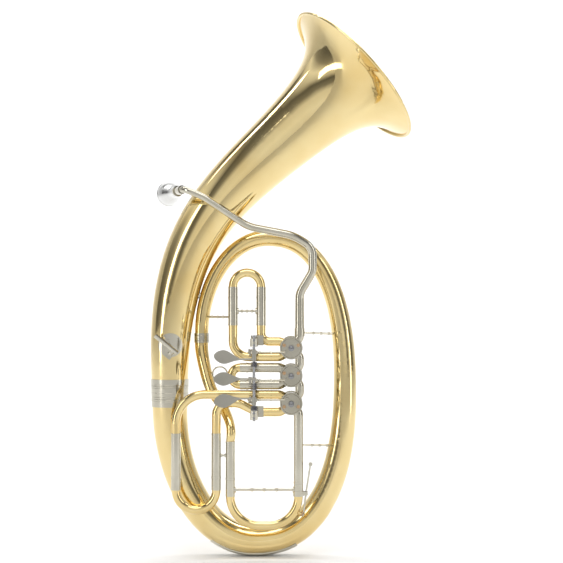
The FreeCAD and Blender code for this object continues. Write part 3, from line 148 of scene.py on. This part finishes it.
def build_polish():
    group, taken, given = new_group(
        "hand_polish",
        [("Smooth", "NodeSocketFloat", 0.06), ("Dull", "NodeSocketFloat", 0.16),
         ("Wave", "NodeSocketFloat", 0.02), ("Hairline Scale", "NodeSocketFloat", 900.0)],
        [("Roughness", "NodeSocketFloat"), ("Normal", "NodeSocketVector")])
    place = group.nodes.new("ShaderNodeTexCoord").outputs["Object"]
    stretch = group.nodes.new("ShaderNodeMapping")
    stretch.inputs["Scale"].default_value = HAIRLINE_STRETCH
    group.links.new(place, stretch.inputs["Vector"])
    hairline = add_noise(group, stretch.outputs["Vector"], taken.outputs["Hairline Scale"], HAIRLINE_DETAIL)
    cloud = add_noise(group, place, CLOUD_SCALE, CLOUD_DETAIL)
    wave = add_noise(group, place, WAVE_SCALE, WAVE_DETAIL)
    both = group.nodes.new("ShaderNodeMath")
    both.operation = "MULTIPLY"
    group.links.new(hairline, both.inputs[0])
    group.links.new(cloud, both.inputs[1])
    spread = group.nodes.new("ShaderNodeMapRange")
    spread.inputs["From Min"].default_value = PRODUCT_LOW
    spread.inputs["From Max"].default_value = PRODUCT_HIGH
    group.links.new(both.outputs[0], spread.inputs["Value"])
    group.links.new(taken.outputs["Smooth"], spread.inputs["To Min"])
    group.links.new(taken.outputs["Dull"], spread.inputs["To Max"])
    bump = group.nodes.new("ShaderNodeBump")
    bump.inputs["Distance"].default_value = WAVE_HEIGHT
    group.links.new(taken.outputs["Wave"], bump.inputs["Strength"])
    group.links.new(wave, bump.inputs["Height"])
    group.links.new(spread.outputs["Result"], given.inputs["Roughness"])
    group.links.new(bump.outputs["Normal"], given.inputs["Normal"])
    return group


polish = build_polish()
print("polish group has", len(polish.nodes), "nodes")

# %% [markdown]
# ## Colour that drifts
# Lacquer is a little deeper where it ran thick, and nickel silver warms towards yellow where
# hands hold it.  The group mixes two colours by a slow cloud; it gives out only a colour.

# %% Build the drift group
DRIFT_DETAIL = 3.0
DRIFT_LOW, DRIFT_HIGH = 0.35, 0.7


def build_drift():
    group, taken, given = new_group(
        "colour_drift",
        [("Clean", "NodeSocketColor", (1, 1, 1, 1)), ("Deep", "NodeSocketColor", (1, 1, 1, 1)),
         ("Scale", "NodeSocketFloat", 14.0)],
        [("Color", "NodeSocketColor")])
    place = group.nodes.new("ShaderNodeTexCoord").outputs["Object"]
    cloud = add_noise(group, place, taken.outputs["Scale"], DRIFT_DETAIL)
    steep = group.nodes.new("ShaderNodeMapRange")
    steep.inputs["From Min"].default_value = DRIFT_LOW
    steep.inputs["From Max"].default_value = DRIFT_HIGH
    group.links.new(cloud, steep.inputs["Value"])
    mix = group.nodes.new("ShaderNodeMix")
    mix.data_type = "RGBA"
    group.links.new(steep.outputs["Result"], mix.inputs["Factor"])
    group.links.new(taken.outputs["Clean"], mix.inputs["A"])
    group.links.new(taken.outputs["Deep"], mix.inputs["B"])
    group.links.new(mix.outputs["Result"], given.inputs["Color"])
    return group


drift = build_drift()
print("drift group has", len(drift.nodes), "nodes")

# %% [markdown]
# ## One recipe for all metals
# Every metal here is the same shader with other numbers: two colours, how smooth and how dull
# the polish is, how wavy, and how much clear lacquer lies on top.  A helper keeps that recipe
# in one place; the shader itself stays in the material, and only the groups are shared.

# %% Write the metal recipe
def place_group(tree, group, **values):
    node = tree.nodes.new("ShaderNodeGroup")
    node.node_tree = group
    for label, value in values.items():
        node.inputs[label.replace("_", " ")].default_value = value
    return node


COAT_ROUGHNESS = 0.03


def metal(name, clean, deep, smooth, dull, wave, coat=0.0, hairline=900.0):
    """A metal with drifting colour, hand polish and, where it is lacquered, a clear coat."""
    material = bpy.data.materials.new(name)
    material.use_nodes = True
    tree = material.node_tree
    shader = tree.nodes["Principled BSDF"]
    shader.inputs["Metallic"].default_value = 1.0
    shader.inputs["Coat Weight"].default_value = coat
    shader.inputs["Coat Roughness"].default_value = COAT_ROUGHNESS
    colour = place_group(tree, drift, Clean=(*clean, 1), Deep=(*deep, 1))
    finish = place_group(tree, polish, Smooth=smooth, Dull=dull, Wave=wave, Hairline_Scale=hairline)
    tree.links.new(colour.outputs["Color"], shader.inputs["Base Color"])
    tree.links.new(finish.outputs["Roughness"], shader.inputs["Roughness"])
    tree.links.new(finish.outputs["Normal"], shader.inputs["Normal"])
    return material


print("metal recipe is ready, coat roughness", COAT_ROUGHNESS)

# %% [markdown]
# ## The finishes of the horn
# Yellow brass under clear lacquer for the bell and bows; bare nickel silver, greyer and a
# touch warm, for ferrules, outer slides and valves; silver plate for the mouthpiece; satin
# nickel for the touch plates, so that fingers don't slip; steel for axles and screws.

# %% Mix the metals
finishes = {
    "brass": metal("lacquered_brass", (0.83, 0.67, 0.34), (0.77, 0.58, 0.25), 0.05, 0.12, 0.06,
                   coat=0.30),
    "nickel_silver": metal("nickel_silver", (0.61, 0.58, 0.49), (0.50, 0.47, 0.38), 0.09, 0.22,
                           0.05),
    "silver_plate": metal("silver_plate", (0.78, 0.78, 0.77), (0.68, 0.68, 0.66), 0.12, 0.26, 0.03),
    "steel": metal("turned_steel", (0.40, 0.40, 0.40), (0.30, 0.30, 0.31), 0.16, 0.32, 0.02,
                   hairline=1400.0),
    "blue_steel": metal("spring_steel", (0.16, 0.16, 0.18), (0.11, 0.11, 0.12), 0.25, 0.45, 0.02),
    "satin_nickel": metal("satin_nickel", (0.42, 0.40, 0.35), (0.34, 0.33, 0.28), 0.32, 0.48, 0.02,
                          hairline=2200.0),
}
print("metals mixed:", sorted(finishes))

# %% [markdown]
# Cork stops a rotor without a click, and a cork pad seals the water key.  It is bark, full of
# small pores, so its colour and its bump both follow a fine cell pattern.

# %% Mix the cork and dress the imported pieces
CORK_GRAIN = 900.0
CORK_DARK, CORK_PALE = (0.20, 0.10, 0.05, 1), (0.55, 0.36, 0.20, 1)
CORK_PALE_FROM = 0.5
CORK_BUMP, CORK_BUMP_HEIGHT = 0.4, 0.0004
CORK_ROUGHNESS = 0.85


def cork_material():
    material = bpy.data.materials.new("natural_cork")
    material.use_nodes = True
    tree = material.node_tree
    shader = tree.nodes["Principled BSDF"]
    place = tree.nodes.new("ShaderNodeTexCoord")
    grain = tree.nodes.new("ShaderNodeTexVoronoi")
    grain.inputs["Scale"].default_value = CORK_GRAIN
    tree.links.new(place.outputs["Object"], grain.inputs["Vector"])
    ramp = tree.nodes.new("ShaderNodeValToRGB")
    ramp.color_ramp.elements[0].color = CORK_DARK
    ramp.color_ramp.elements[1].color = CORK_PALE
    ramp.color_ramp.elements[1].position = CORK_PALE_FROM
    tree.links.new(grain.outputs["Distance"], ramp.inputs["Fac"])
    tree.links.new(ramp.outputs["Color"], shader.inputs["Base Color"])
    bump = tree.nodes.new("ShaderNodeBump")
    bump.inputs["Strength"].default_value = CORK_BUMP
    bump.inputs["Distance"].default_value = CORK_BUMP_HEIGHT
    tree.links.new(grain.outputs["Distance"], bump.inputs["Height"])
    tree.links.new(bump.outputs["Normal"], shader.inputs["Normal"])
    shader.inputs["Roughness"].default_value = CORK_ROUGHNESS
    return material


finishes["cork"] = cork_material()
for node, thing in frame["nodes"].items():
    for place in thing.material_slots:
        place.material = finishes[slot_of[node]]
print("finishes on", len(frame["nodes"]), "packed pieces")

# %% [markdown]
# ## Small worked parts
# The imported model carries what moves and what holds.  On it sit the things that a maker adds
# last: screw heads, knurled edges, soldered bead wires, ball joints.  Each is made here as
# its own piece with real shape, since a painted line would vanish when the horn is turned.
# Each new piece rides on the body that carries it and takes a finish from the same list.

# %% Place a new piece on its body
def finish_piece(piece, body, slot_name):
    bpy.context.scene.collection.objects.link(piece)
    piece.data.materials.append(finishes[slot_name])
    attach(piece, body)
    return piece


def standing(place, direction):
    """Puts a piece's own Z along a direction, at a place."""
    turn = Vector(direction).to_track_quat("Z", "Y").to_matrix().to_4x4()
    return Matrix.Translation(Vector(place)) @ turn


# %% [markdown]
# Washers, knurled bands, balls and nuts are all turned parts: an outline swept round an axis.
# A screw modifier could do it, but rows of corners made in code can also press flutes into
# the side, and a turned part with six steps is a nut.

# %% Turn a profile on the lathe
LATHE_STEPS = 40
WELD_DISTANCE = 1e-7
SHARP_ANGLE = math.radians(35)


def lathe(name, profile, place, direction, body, slot_name, steps=LATHE_STEPS, flutes=0,
          flute_depth=0.0):
    """Turns (radius, height) points about Z; flutes press shallow grooves into its side."""
    bm = bmesh.new()
    rows = []
    for radius, height in profile:
        row = []
        for step in range(steps):
            angle = 2 * math.pi * step / steps
            inward = flute_depth * (0.5 + 0.5 * math.cos(flutes * angle)) if flutes else 0.0
            reach = max(radius - inward * (radius > 2 * flute_depth), 0.0)
            row.append(bm.verts.new((reach * math.cos(angle), reach * math.sin(angle), height)))
        rows.append(row)
    for lower, upper in zip(rows, rows[1:]):
        for step in range(steps):
            after = (step + 1) % steps
            bm.faces.new((lower[step], lower[after], upper[after], upper[step]))
    bm.faces.new(list(reversed(rows[0])))
    bm.faces.new(rows[-1])
    bmesh.ops.remove_doubles(bm, verts=bm.verts, dist=WELD_DISTANCE)
    bmesh.ops.recalc_face_normals(bm, faces=bm.faces)
    bm.transform(standing(place, direction))
    mesh = bpy.data.meshes.new(name)
    bm.to_mesh(mesh)
    bm.free()
    mesh.shade_smooth()
    mesh.set_sharp_from_angle(angle=SHARP_ANGLE)
    return finish_piece(bpy.data.objects.new(name, mesh), body, slot_name)


print("the lathe turns in", LATHE_STEPS, "steps")

# %% [markdown]
# A screw head is a low dome with a sawn slot.  Cutting the slot with a boolean is slow and
# fragile on so small a part.  Here the dome is a grid of rings whose middle rows are pushed
# down, so that the slot is part of the same clean mesh.

# %% Cut slotted screw heads
HEAD_STEPS = 36
HEAD_RINGS = (1.0, 1.0, 0.93, 0.78, 0.6, 0.42, 0.24)
HEAD_HEIGHT_SHARE = 0.42
RIM_SHARE = 0.62
SLOT_SHARE = 0.16
SLOT_FLOOR_SHARE = 0.35


def screw_head(name, place, direction, radius, body, slot_name):
    """A domed head standing on a place, with a slot; every slot lies along the same way."""
    bm = bmesh.new()
    steps = HEAD_STEPS
    height = radius * HEAD_HEIGHT_SHARE
    rows = []
    for number, share in enumerate(HEAD_RINGS):
        dome = RIM_SHARE + (1 - RIM_SHARE) * math.sqrt(max(1 - share * share, 0))
        rise = 0.0 if number == 0 else height * dome
        row = []
        for step in range(steps):
            angle = 2 * math.pi * step / steps
            across = radius * share * math.cos(angle)
            along = radius * share * math.sin(angle)
            sunk = abs(along) < radius * SLOT_SHARE and number > 0
            row.append(bm.verts.new((across, along, rise * (SLOT_FLOOR_SHARE if sunk else 1.0))))
        rows.append(row)
    for lower, upper in zip(rows, rows[1:]):
        for step in range(steps):
            after = (step + 1) % steps
            bm.faces.new((lower[step], lower[after], upper[after], upper[step]))
    centre = bm.verts.new((0, 0, height * SLOT_FLOOR_SHARE))
    for step in range(steps):
        bm.faces.new((rows[-1][step], rows[-1][(step + 1) % steps], centre))
    bm.faces.new(list(reversed(rows[0])))
    bmesh.ops.recalc_face_normals(bm, faces=bm.faces)
    bm.transform(standing(place, direction))
    mesh = bpy.data.meshes.new(name)
    bm.to_mesh(mesh)
    bm.free()
    return finish_piece(bpy.data.objects.new(name, mesh), body, slot_name)


print("a head has", len(HEAD_RINGS), "rings of", HEAD_STEPS, "corners")

# %% [markdown]
# A rotor's stop arm is clamped on its spindle by one big screw over a washer.  Both turn with
# the rotor, so they ride on its body.  They start at the front of the arm's box, which is the
# tip of the arm's pin, so they stand about 4 mm in front of the spindle and don't touch it.

# %% Put a screw and a washer in the middle of each stop arm
ARM_SCREW_R = 0.0034
WASHER_R = 0.0042
WASHER_HOLE_R = 0.0015
WASHER_THICK = 0.0006
FRONT = Vector((0, -1, 0))
for number, height in enumerate(valve_heights, 1):
    arm_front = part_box("stop_arm_%d" % number)[0][1]
    spindle = Vector((valve_axis_x, arm_front, height))
    lathe("arm_washer_%d" % number,
          [(WASHER_R, 0), (WASHER_R, WASHER_THICK), (WASHER_HOLE_R, WASHER_THICK)],
          spindle, FRONT, "rotor_%d" % number, "steel")
    screw_head("arm_screw_%d" % number, spindle + FRONT * WASHER_THICK, FRONT, ARM_SCREW_R,
               "rotor_%d" % number, "steel")
print("arm screws on", len(valve_heights), "arms, the last at y", round(arm_front, 4))

# %% [markdown]
# The front and rear caps of a rotary valve screw on by hand, so their edges are knurled.  A
# bump map would leave the outline smooth; a fluted band turned on the lathe changes it.  The
# lathe closes both ends, so each band is a disc that also runs, unseen, through the casing
# and the rotor.

# %% Turn a knurled band
KNURL_FLUTES = 56
KNURL_DEPTH = 0.00035
KNURL_PROUD = 0.0003
KNURL_SUNK = 0.0004
KNURL_CHAMFER = 0.0003
cap_radius = size_of("face_plates").x / 2
face_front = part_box("face_plates")[0][1]
rear_front, rear_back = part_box("rear_caps")[0][1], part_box("rear_caps")[1][1]
print("caps have radius", round(cap_radius, 4))


def knurled_band(name, y_front, width, height):
    outer = cap_radius + KNURL_PROUD
    inner = cap_radius - KNURL_SUNK
    edge = outer - KNURL_CHAMFER
    profile = [(inner, 0), (edge, 0), (outer, KNURL_CHAMFER), (outer, width - KNURL_CHAMFER),
               (edge, width), (inner, width)]
    place = Vector((valve_axis_x, y_front, height))
    return lathe(name, profile, place, -FRONT, "horn_body", "nickel_silver",
                 KNURL_FLUTES * 4, KNURL_FLUTES, KNURL_DEPTH)


# %% [markdown]
# The face of a cap shows fine raised rings left by the lathe.  A ring is a wire bent round a
# circle, a torus made row by row, so that it can stand on any axis at once.

# %% Bend a wire to a ring
RING_STEPS = 72
WIRE_STEPS = 10


def wire_ring(name, centre, axis, radius, wire, body, slot_name):
    """A round wire bent to a ring."""
    bm = bmesh.new()
    rows = []
    for step in range(RING_STEPS):
        angle = 2 * math.pi * step / RING_STEPS
        out = Vector((math.cos(angle), math.sin(angle), 0))
        row = []
        for part in range(WIRE_STEPS):
            lean = 2 * math.pi * part / WIRE_STEPS
            rise = Vector((0, 0, wire * math.sin(lean)))
            row.append(bm.verts.new(out * (radius + wire * math.cos(lean)) + rise))
        rows.append(row)
    for step, row in enumerate(rows):
        after = rows[(step + 1) % RING_STEPS]
        for part in range(WIRE_STEPS):
            beside = (part + 1) % WIRE_STEPS
            bm.faces.new((row[part], after[part], after[beside], row[beside]))
    bmesh.ops.recalc_face_normals(bm, faces=bm.faces)
    bm.transform(standing(centre, axis))
    mesh = bpy.data.meshes.new(name)
    bm.to_mesh(mesh)
    bm.free()
    mesh.shade_smooth()
    return finish_piece(bpy.data.objects.new(name, mesh), body, slot_name)


print("a ring has", RING_STEPS * WIRE_STEPS, "faces")

# %% [markdown]
# Each valve gets a knurled band and a face ring in front, and a wider band with two rings
# behind.  The bands start a little inside the cap's edge, as a knurling wheel leaves them.
# The face ring lies in the groove of the front plate, 0.15 mm clear of the metal.

# %% Dress the caps
FRONT_KNURL_INSET, FRONT_KNURL_WIDTH = 0.0006, 0.0018
REAR_KNURL_INSET, REAR_KNURL_WIDTH = 0.0012, 0.0034
FACE_RING_INSET, FACE_RING_WIRE = 0.0022, 0.0003
REAR_RING_INSET, REAR_RING_WIRE = 0.0026, 0.00035
BOSS_RING_R, BOSS_RING_WIRE = 0.0052, 0.0005

for number, height in enumerate(valve_heights, 1):
    knurled_band("front_knurl_%d" % number, face_front + FRONT_KNURL_INSET, FRONT_KNURL_WIDTH, height)
    knurled_band("rear_knurl_%d" % number, rear_front + REAR_KNURL_INSET, REAR_KNURL_WIDTH, height)
    face = Vector((valve_axis_x, face_front, height))
    wire_ring("face_ring_%d" % number, face, FRONT, cap_radius - FACE_RING_INSET,
              FACE_RING_WIRE, "horn_body", "nickel_silver")
    back = Vector((valve_axis_x, rear_back, height))
    wire_ring("rear_ring_%d" % number, back, -FRONT, cap_radius - REAR_RING_INSET,
              REAR_RING_WIRE, "horn_body", "nickel_silver")
    wire_ring("rear_boss_ring_%d" % number, back, -FRONT, BOSS_RING_R, BOSS_RING_WIRE,
              "horn_body", "nickel_silver")
print(2 * len(valve_heights), "knurled bands of radius", round(cap_radius + KNURL_PROUD, 4))

# %% [markdown]
# Each link rod is two threaded ends in a ball joint, locked by a small nut, which lets a
# repairer set the stroke.  The joint rides on the rod, so it follows the rotor's pin.

# %% Fit the ball joints and lock nuts on the link rods
BALL_R = 0.0026
BALL_FROM_LEVER_END = 0.0125
NUT_FROM_ROTOR_END = 0.0260
NUT_STEPS = 6
ball_profile = [(0.0013, -0.0052), (0.0019, -0.0050), (0.0019, -0.0034), (0.0014, -0.0030)]
ball_profile += [(BALL_R * math.cos(math.radians(lean)), BALL_R * math.sin(math.radians(lean)))
                 for lean in range(-60, 61, 15)]
ball_profile += [(0.0014, 0.0030), (0.0019, 0.0034), (0.0019, 0.0060), (0.0013, 0.0062)]
nut_profile = [(0.0013, -0.0012), (0.0021, -0.0012), (0.0024, -0.0008), (0.0024, 0.0008),
               (0.0021, 0.0012), (0.0013, 0.0012)]
for number in (1, 2, 3):
    rod_low, rod_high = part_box("link_rod_%d" % number)
    rod_y = (rod_low.y + rod_high.y) / 2
    rod_z = (rod_low.z + rod_high.z) / 2
    lathe("rod_ball_%d" % number, ball_profile, (rod_low.x + BALL_FROM_LEVER_END, rod_y, rod_z),
          (1, 0, 0), "link_rod_%d" % number, "nickel_silver")
    lathe("rod_nut_%d" % number, nut_profile, (rod_high.x - NUT_FROM_ROTOR_END, rod_y, rod_z),
          (1, 0, 0), "link_rod_%d" % number, "nickel_silver", NUT_STEPS)
print("ball joints on three rods, the last at height", round(rod_z, 4))

# %% [markdown]
# A bead wire is soldered round a ferrule where it meets the tube, partly to hide the seam.
# The tubes taper and lean, so a plain ring would not touch them all round.  Each bead is
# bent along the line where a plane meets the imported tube: rays sent inwards from all round
# find that line.

# %% Bend a bead wire round a tube
from mathutils.bvhtree import BVHTree

BEAD_STEPS = 96
RAY_START = 0.060
BEAD_SMOOTHNESS = 3


def bead_wire(name, node, centre, normal, wire, slot_name):
    """A wire along the outer line in which a plane cuts a node, found by rays from outside."""
    tree = BVHTree.FromObject(frame["nodes"][node], bpy.context.evaluated_depsgraph_get())
    centre, normal = Vector(centre), Vector(normal).normalized()
    across = normal.orthogonal().normalized()
    beside = normal.cross(across)
    points = []
    for step in range(BEAD_STEPS):
        angle = 2 * math.pi * step / BEAD_STEPS
        out = across * math.cos(angle) + beside * math.sin(angle)
        hit = tree.ray_cast(centre + out * RAY_START, -out, RAY_START)[0]
        if hit is not None:
            points.append(hit)
    curve = bpy.data.curves.new(name, "CURVE")
    curve.dimensions = "3D"
    curve.bevel_depth = wire
    curve.bevel_resolution = BEAD_SMOOTHNESS
    line = curve.splines.new("POLY")
    line.points.add(len(points) - 1)
    for place, point in zip(line.points, points):
        place.co = (*point, 1)
    line.use_cyclic_u = True
    shown = bpy.data.objects.new(name, curve)
    mesh = bpy.data.meshes.new_from_object(shown)
    mesh.name = name
    mesh.shade_smooth()
    bpy.data.objects.remove(shown)
    return finish_piece(bpy.data.objects.new(name, mesh), body_of[node], slot_name), len(points)


print("a bead sends", BEAD_STEPS, "rays inwards")

# %% [markdown]
# The bell's ferrule carries five beads and the branch's ferrule two.  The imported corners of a
# ferrule tell which way it leans: the middle of its lowest corners and the middle of its
# highest ones give the line on which the beads sit.

# %% Solder the beads on both ferrules
BEAD_WIRE = 0.00038
END_SHARE = 12
FEWEST_CORNERS = 8


def ends_of_tube(node):
    """The middles of the lowest and of the highest corners of a short upright ferrule."""
    points = [vertex.co for vertex in frame["nodes"][node].data.vertices]
    ordered = sorted(points, key=lambda point: point.z)
    share = max(len(ordered) // END_SHARE, FEWEST_CORNERS)
    low = sum((Vector(point) for point in ordered[:share]), Vector()) / share
    high = sum((Vector(point) for point in ordered[-share:]), Vector()) / share
    return low, high


ferrule_beads = {"bell_ferrule": (0.12, 0.2, 0.5, 0.8, 0.88), "branch_ferrule": (0.2, 0.8)}
for node, shares in ferrule_beads.items():
    low, high = ends_of_tube(node)
    for count, share in enumerate(shares, 1):
        piece, found = bead_wire("%s_bead_%d" % (node, count), node, low.lerp(high, share),
                                 high - low, BEAD_WIRE, "nickel_silver")
        print(piece.name, "touches in", found, "places")

# %% [markdown]
# Thin plates are held by small screws and rivets.  A ray from the front, sent at one packed
# plate alone, gives the spot and the lean of its surface, so that the head lies flat on a
# curved saddle.  The ray passes through every other piece, so it can also find a spot that
# stays hidden behind one.

# %% Find the front of a plate
LOOK_FROM_Y = -0.4
LOOK_REACH = 0.6
HEAD_SUNK = 0.0001


def on_front(node, x, z):
    """The first spot where a ray from the front meets one node, and the lean of its surface."""
    tree = BVHTree.FromObject(frame["nodes"][node], bpy.context.evaluated_depsgraph_get())
    hit, normal = tree.ray_cast(Vector((x, LOOK_FROM_Y, z)), -FRONT, LOOK_REACH)[:2]
    if hit is None:
        return None, None
    return hit, normal if normal.y < 0 else -normal


def plate_screw(name, node, x, z, radius, slot_name):
    place, lean = on_front(node, x, z)
    if place is None:
        print("no plate in front for", name)
        return None
    return screw_head(name, place - lean * HEAD_SUNK, lean, radius, body_of[node], slot_name)


print("rays look at the plates from y", LOOK_FROM_Y)

# %% [markdown]
# One blued screw sits at the foot of the leadpipe, unseen in its rear wall.  Three rivets sit on the
# round lyre plate: the first shows, the other two are behind the lyre socket and its screw.
# One rivet sits on the front edge of the bow guard, near its left end.

# %% Set the small screws on the front plates
FOOT_SCREW_X, FOOT_SCREW_Z = -0.0673, 0.4975
FOOT_SCREW_R = 0.0018
LYRE_RIVET_CIRCLE, LYRE_RIVET_R = 0.0142, 0.0011
LYRE_RIVET_TURNS = (40, 160, 280)
GUARD_RIVET_SHARE, GUARD_RIVET_Z, GUARD_RIVET_R = 0.12, 0.017, 0.0012

plate_screw("leadpipe_foot_screw", "leadpipe_fittings", FOOT_SCREW_X, FOOT_SCREW_Z, FOOT_SCREW_R,
            "blue_steel")
lyre_middle = middle_of("lyre_plate")
for count, turn in enumerate(LYRE_RIVET_TURNS, 1):
    out_x = LYRE_RIVET_CIRCLE * math.cos(math.radians(turn))
    out_z = LYRE_RIVET_CIRCLE * math.sin(math.radians(turn))
    plate_screw("lyre_plate_rivet_%d" % count, "lyre_plate", lyre_middle.x + out_x,
                lyre_middle.z + out_z, LYRE_RIVET_R, "nickel_silver")
guard_low, guard_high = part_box("bow_guard")
guard_x = guard_low.x + (guard_high.x - guard_low.x) * GUARD_RIVET_SHARE
plate_screw("guard_rivet_1", "bow_guard", guard_x, GUARD_RIVET_Z, GUARD_RIVET_R, "nickel_silver")
print("plate screws set; the guard's rivet is at x", round(guard_x, 4))

# %% [markdown]
# ## The camera, the table and the lights
# The horn is shown square from the front, from far enough away that its tubes stay nearly
# parallel.
# A polished tube shows what stands around it, so the light comes from tall soft panels at
# both sides and above, with darker air between them: that gives each tube its long bright
# lines and its brown edges.  A flat white room would leave the brass without any form.

# %% Set the camera
CAMERA_DISTANCE = 2.35
CAMERA_HEIGHT = 0.403
SIGHT_PLANE_Y = -0.050
FRAME_WIDTH = 0.822
SENSOR_WIDTH = 36.0

camera_data = bpy.data.cameras.new("studio_camera")
camera_data.sensor_width = SENSOR_WIDTH
camera_data.lens = SENSOR_WIDTH * (CAMERA_DISTANCE + SIGHT_PLANE_Y) / FRAME_WIDTH
camera = bpy.data.objects.new("studio_camera", camera_data)
camera.location = (0.0, -CAMERA_DISTANCE, CAMERA_HEIGHT)
camera.rotation_euler = (math.radians(90), 0, 0)
bpy.context.scene.collection.objects.link(camera)
bpy.context.scene.camera = camera
print("lens is", round(camera_data.lens, 1), "mm")

# %% [markdown]
# ## A pale table
# The floor is one pale sheet that curves up behind the horn, so that no edge shows from the
# front.  It could be a flat plane under a white sky, but the curve gives the brass a soft
# horizon.  It belongs to the stage, not to the horn.

# %% Lay the floor
FLOOR_HALF_WIDTH = 30.0
FLOOR_FRONT = -30.0
FLOOR_BACK = 3.0
COVE_RADIUS = 2.0
COVE_STEPS = 16
WALL_TOP = 6.0
PAPER_COLOUR = (0.96, 0.96, 0.96, 1)
PAPER_ROUGHNESS = 0.9


def studio_floor():
    profile = [(FLOOR_FRONT, 0.0)]
    for step in range(COVE_STEPS + 1):
        turn = math.radians(90 * step / COVE_STEPS)
        profile.append((FLOOR_BACK + COVE_RADIUS * math.sin(turn), COVE_RADIUS * (1 - math.cos(turn))))
    profile.append((FLOOR_BACK + COVE_RADIUS, WALL_TOP))
    mesh = bpy.data.meshes.new("studio_floor")
    corners = [(side * FLOOR_HALF_WIDTH, y, z) for y, z in profile for side in (-1, 1)]
    faces = [(2 * row, 2 * row + 1, 2 * row + 3, 2 * row + 2) for row in range(len(profile) - 1)]
    mesh.from_pydata(corners, [], faces)
    mesh.polygons.foreach_set("use_smooth", [True] * len(faces))
    floor = bpy.data.objects.new("studio_floor", mesh)
    bpy.context.scene.collection.objects.link(floor)
    paper = bpy.data.materials.new("pale_paper")
    paper.use_nodes = True
    shader = paper.node_tree.nodes["Principled BSDF"]
    shader.inputs["Base Color"].default_value = PAPER_COLOUR
    shader.inputs["Roughness"].default_value = PAPER_ROUGHNESS
    mesh.materials.append(paper)
    return floor


floor = studio_floor()
print("floor has", len(floor.data.polygons), "faces")

# %% [markdown]
# ## Soft panels
# Area lights stand for cloth boxes: two tall narrow ones at the sides, one wide one above and
# one aimed at the backdrop, which also reaches the horn from behind.  A sun lamp would give
# hard shadows and a single spark on each tube.

# %% Hang the light panels
# Each row holds a name, a place, an aim (None means the middle of the horn), a width, a height
# and the watts.
PANELS = (
    ("left_panel", (-2.1, -1.5, 0.9), None, 0.5, 2.2, 11),
    ("right_panel", (2.1, -1.1, 0.9), None, 0.4, 2.2, 8),
    ("top_panel", (0.0, -1.2, 2.6), None, 2.2, 0.8, 14),
    ("backdrop_panel", (0.0, 1.0, 3.6), (0.0, 4.6, 0.4), 6.0, 1.5, 150),
)


def light_panel(name, place, aim, width, height, watts):
    lamp = bpy.data.lights.new(name, "AREA")
    lamp.shape = "RECTANGLE"
    lamp.size = width
    lamp.size_y = height
    lamp.energy = watts
    panel = bpy.data.objects.new(name, lamp)
    panel.location = place
    panel.rotation_euler = (Vector(aim) - Vector(place)).to_track_quat("-Z", "Y").to_euler()
    bpy.context.scene.collection.objects.link(panel)
    return panel


for name, place, aim, width, height, watts in PANELS:
    light_panel(name, place, aim or horn_middle, width, height, watts)
bpy.context.scene.view_settings.view_transform = "Standard"
print("panels hung:", len(PANELS))

# %% [markdown]
# ## Dark cloths in pale air
# The air around the horn is pale in front, behind and above, with two darker bands at each
# side.  Real studios hang black cloths there for the same reason: they draw the long brown
# lines that make a tube look round.  Seen directly the air stays plain.

# %% Mix the air
PLAIN_AIR = 0.93
AIR_STRENGTH = 1.03
AIR_BANDS = ((0.00, 0.86), (0.30, 0.74), (0.46, 0.22), (0.60, 0.12), (0.70, 0.62),
             (0.80, 0.88), (0.90, 0.30), (1.00, 0.12))


def studio_air():
    world = bpy.data.worlds.new("studio_air")
    world.use_nodes = True
    tree = world.node_tree
    air = tree.nodes["Background"]
    place = tree.nodes.new("ShaderNodeTexCoord")
    parts = tree.nodes.new("ShaderNodeSeparateXYZ")
    tree.links.new(place.outputs["Generated"], parts.inputs["Vector"])
    sideways = tree.nodes.new("ShaderNodeMath")
    sideways.operation = "ABSOLUTE"
    tree.links.new(parts.outputs["X"], sideways.inputs[0])
    bands = tree.nodes.new("ShaderNodeValToRGB")
    ramp = bands.color_ramp
    for stop, (place_on_ramp, light) in enumerate(AIR_BANDS):
        if stop < 2:
            element = ramp.elements[stop]
            element.position = place_on_ramp
        else:
            element = ramp.elements.new(place_on_ramp)
        element.color = (light, light, light, 1)
    tree.links.new(sideways.outputs[0], bands.inputs["Fac"])
    seen = tree.nodes.new("ShaderNodeLightPath")
    mix = tree.nodes.new("ShaderNodeMix")
    mix.data_type = "RGBA"
    tree.links.new(seen.outputs["Is Camera Ray"], mix.inputs["Factor"])
    tree.links.new(bands.outputs["Color"], mix.inputs["A"])
    mix.inputs["B"].default_value = (PLAIN_AIR, PLAIN_AIR, PLAIN_AIR, 1)
    tree.links.new(mix.outputs["Result"], air.inputs["Color"])
    air.inputs["Strength"].default_value = AIR_STRENGTH
    bpy.context.scene.world = world


studio_air()
print("the air has", len(AIR_BANDS), "bands")

# %% [markdown]
# ## The end
# The box of the imported horn is kept from the start.

# %% Finish
print("the horn is finished")
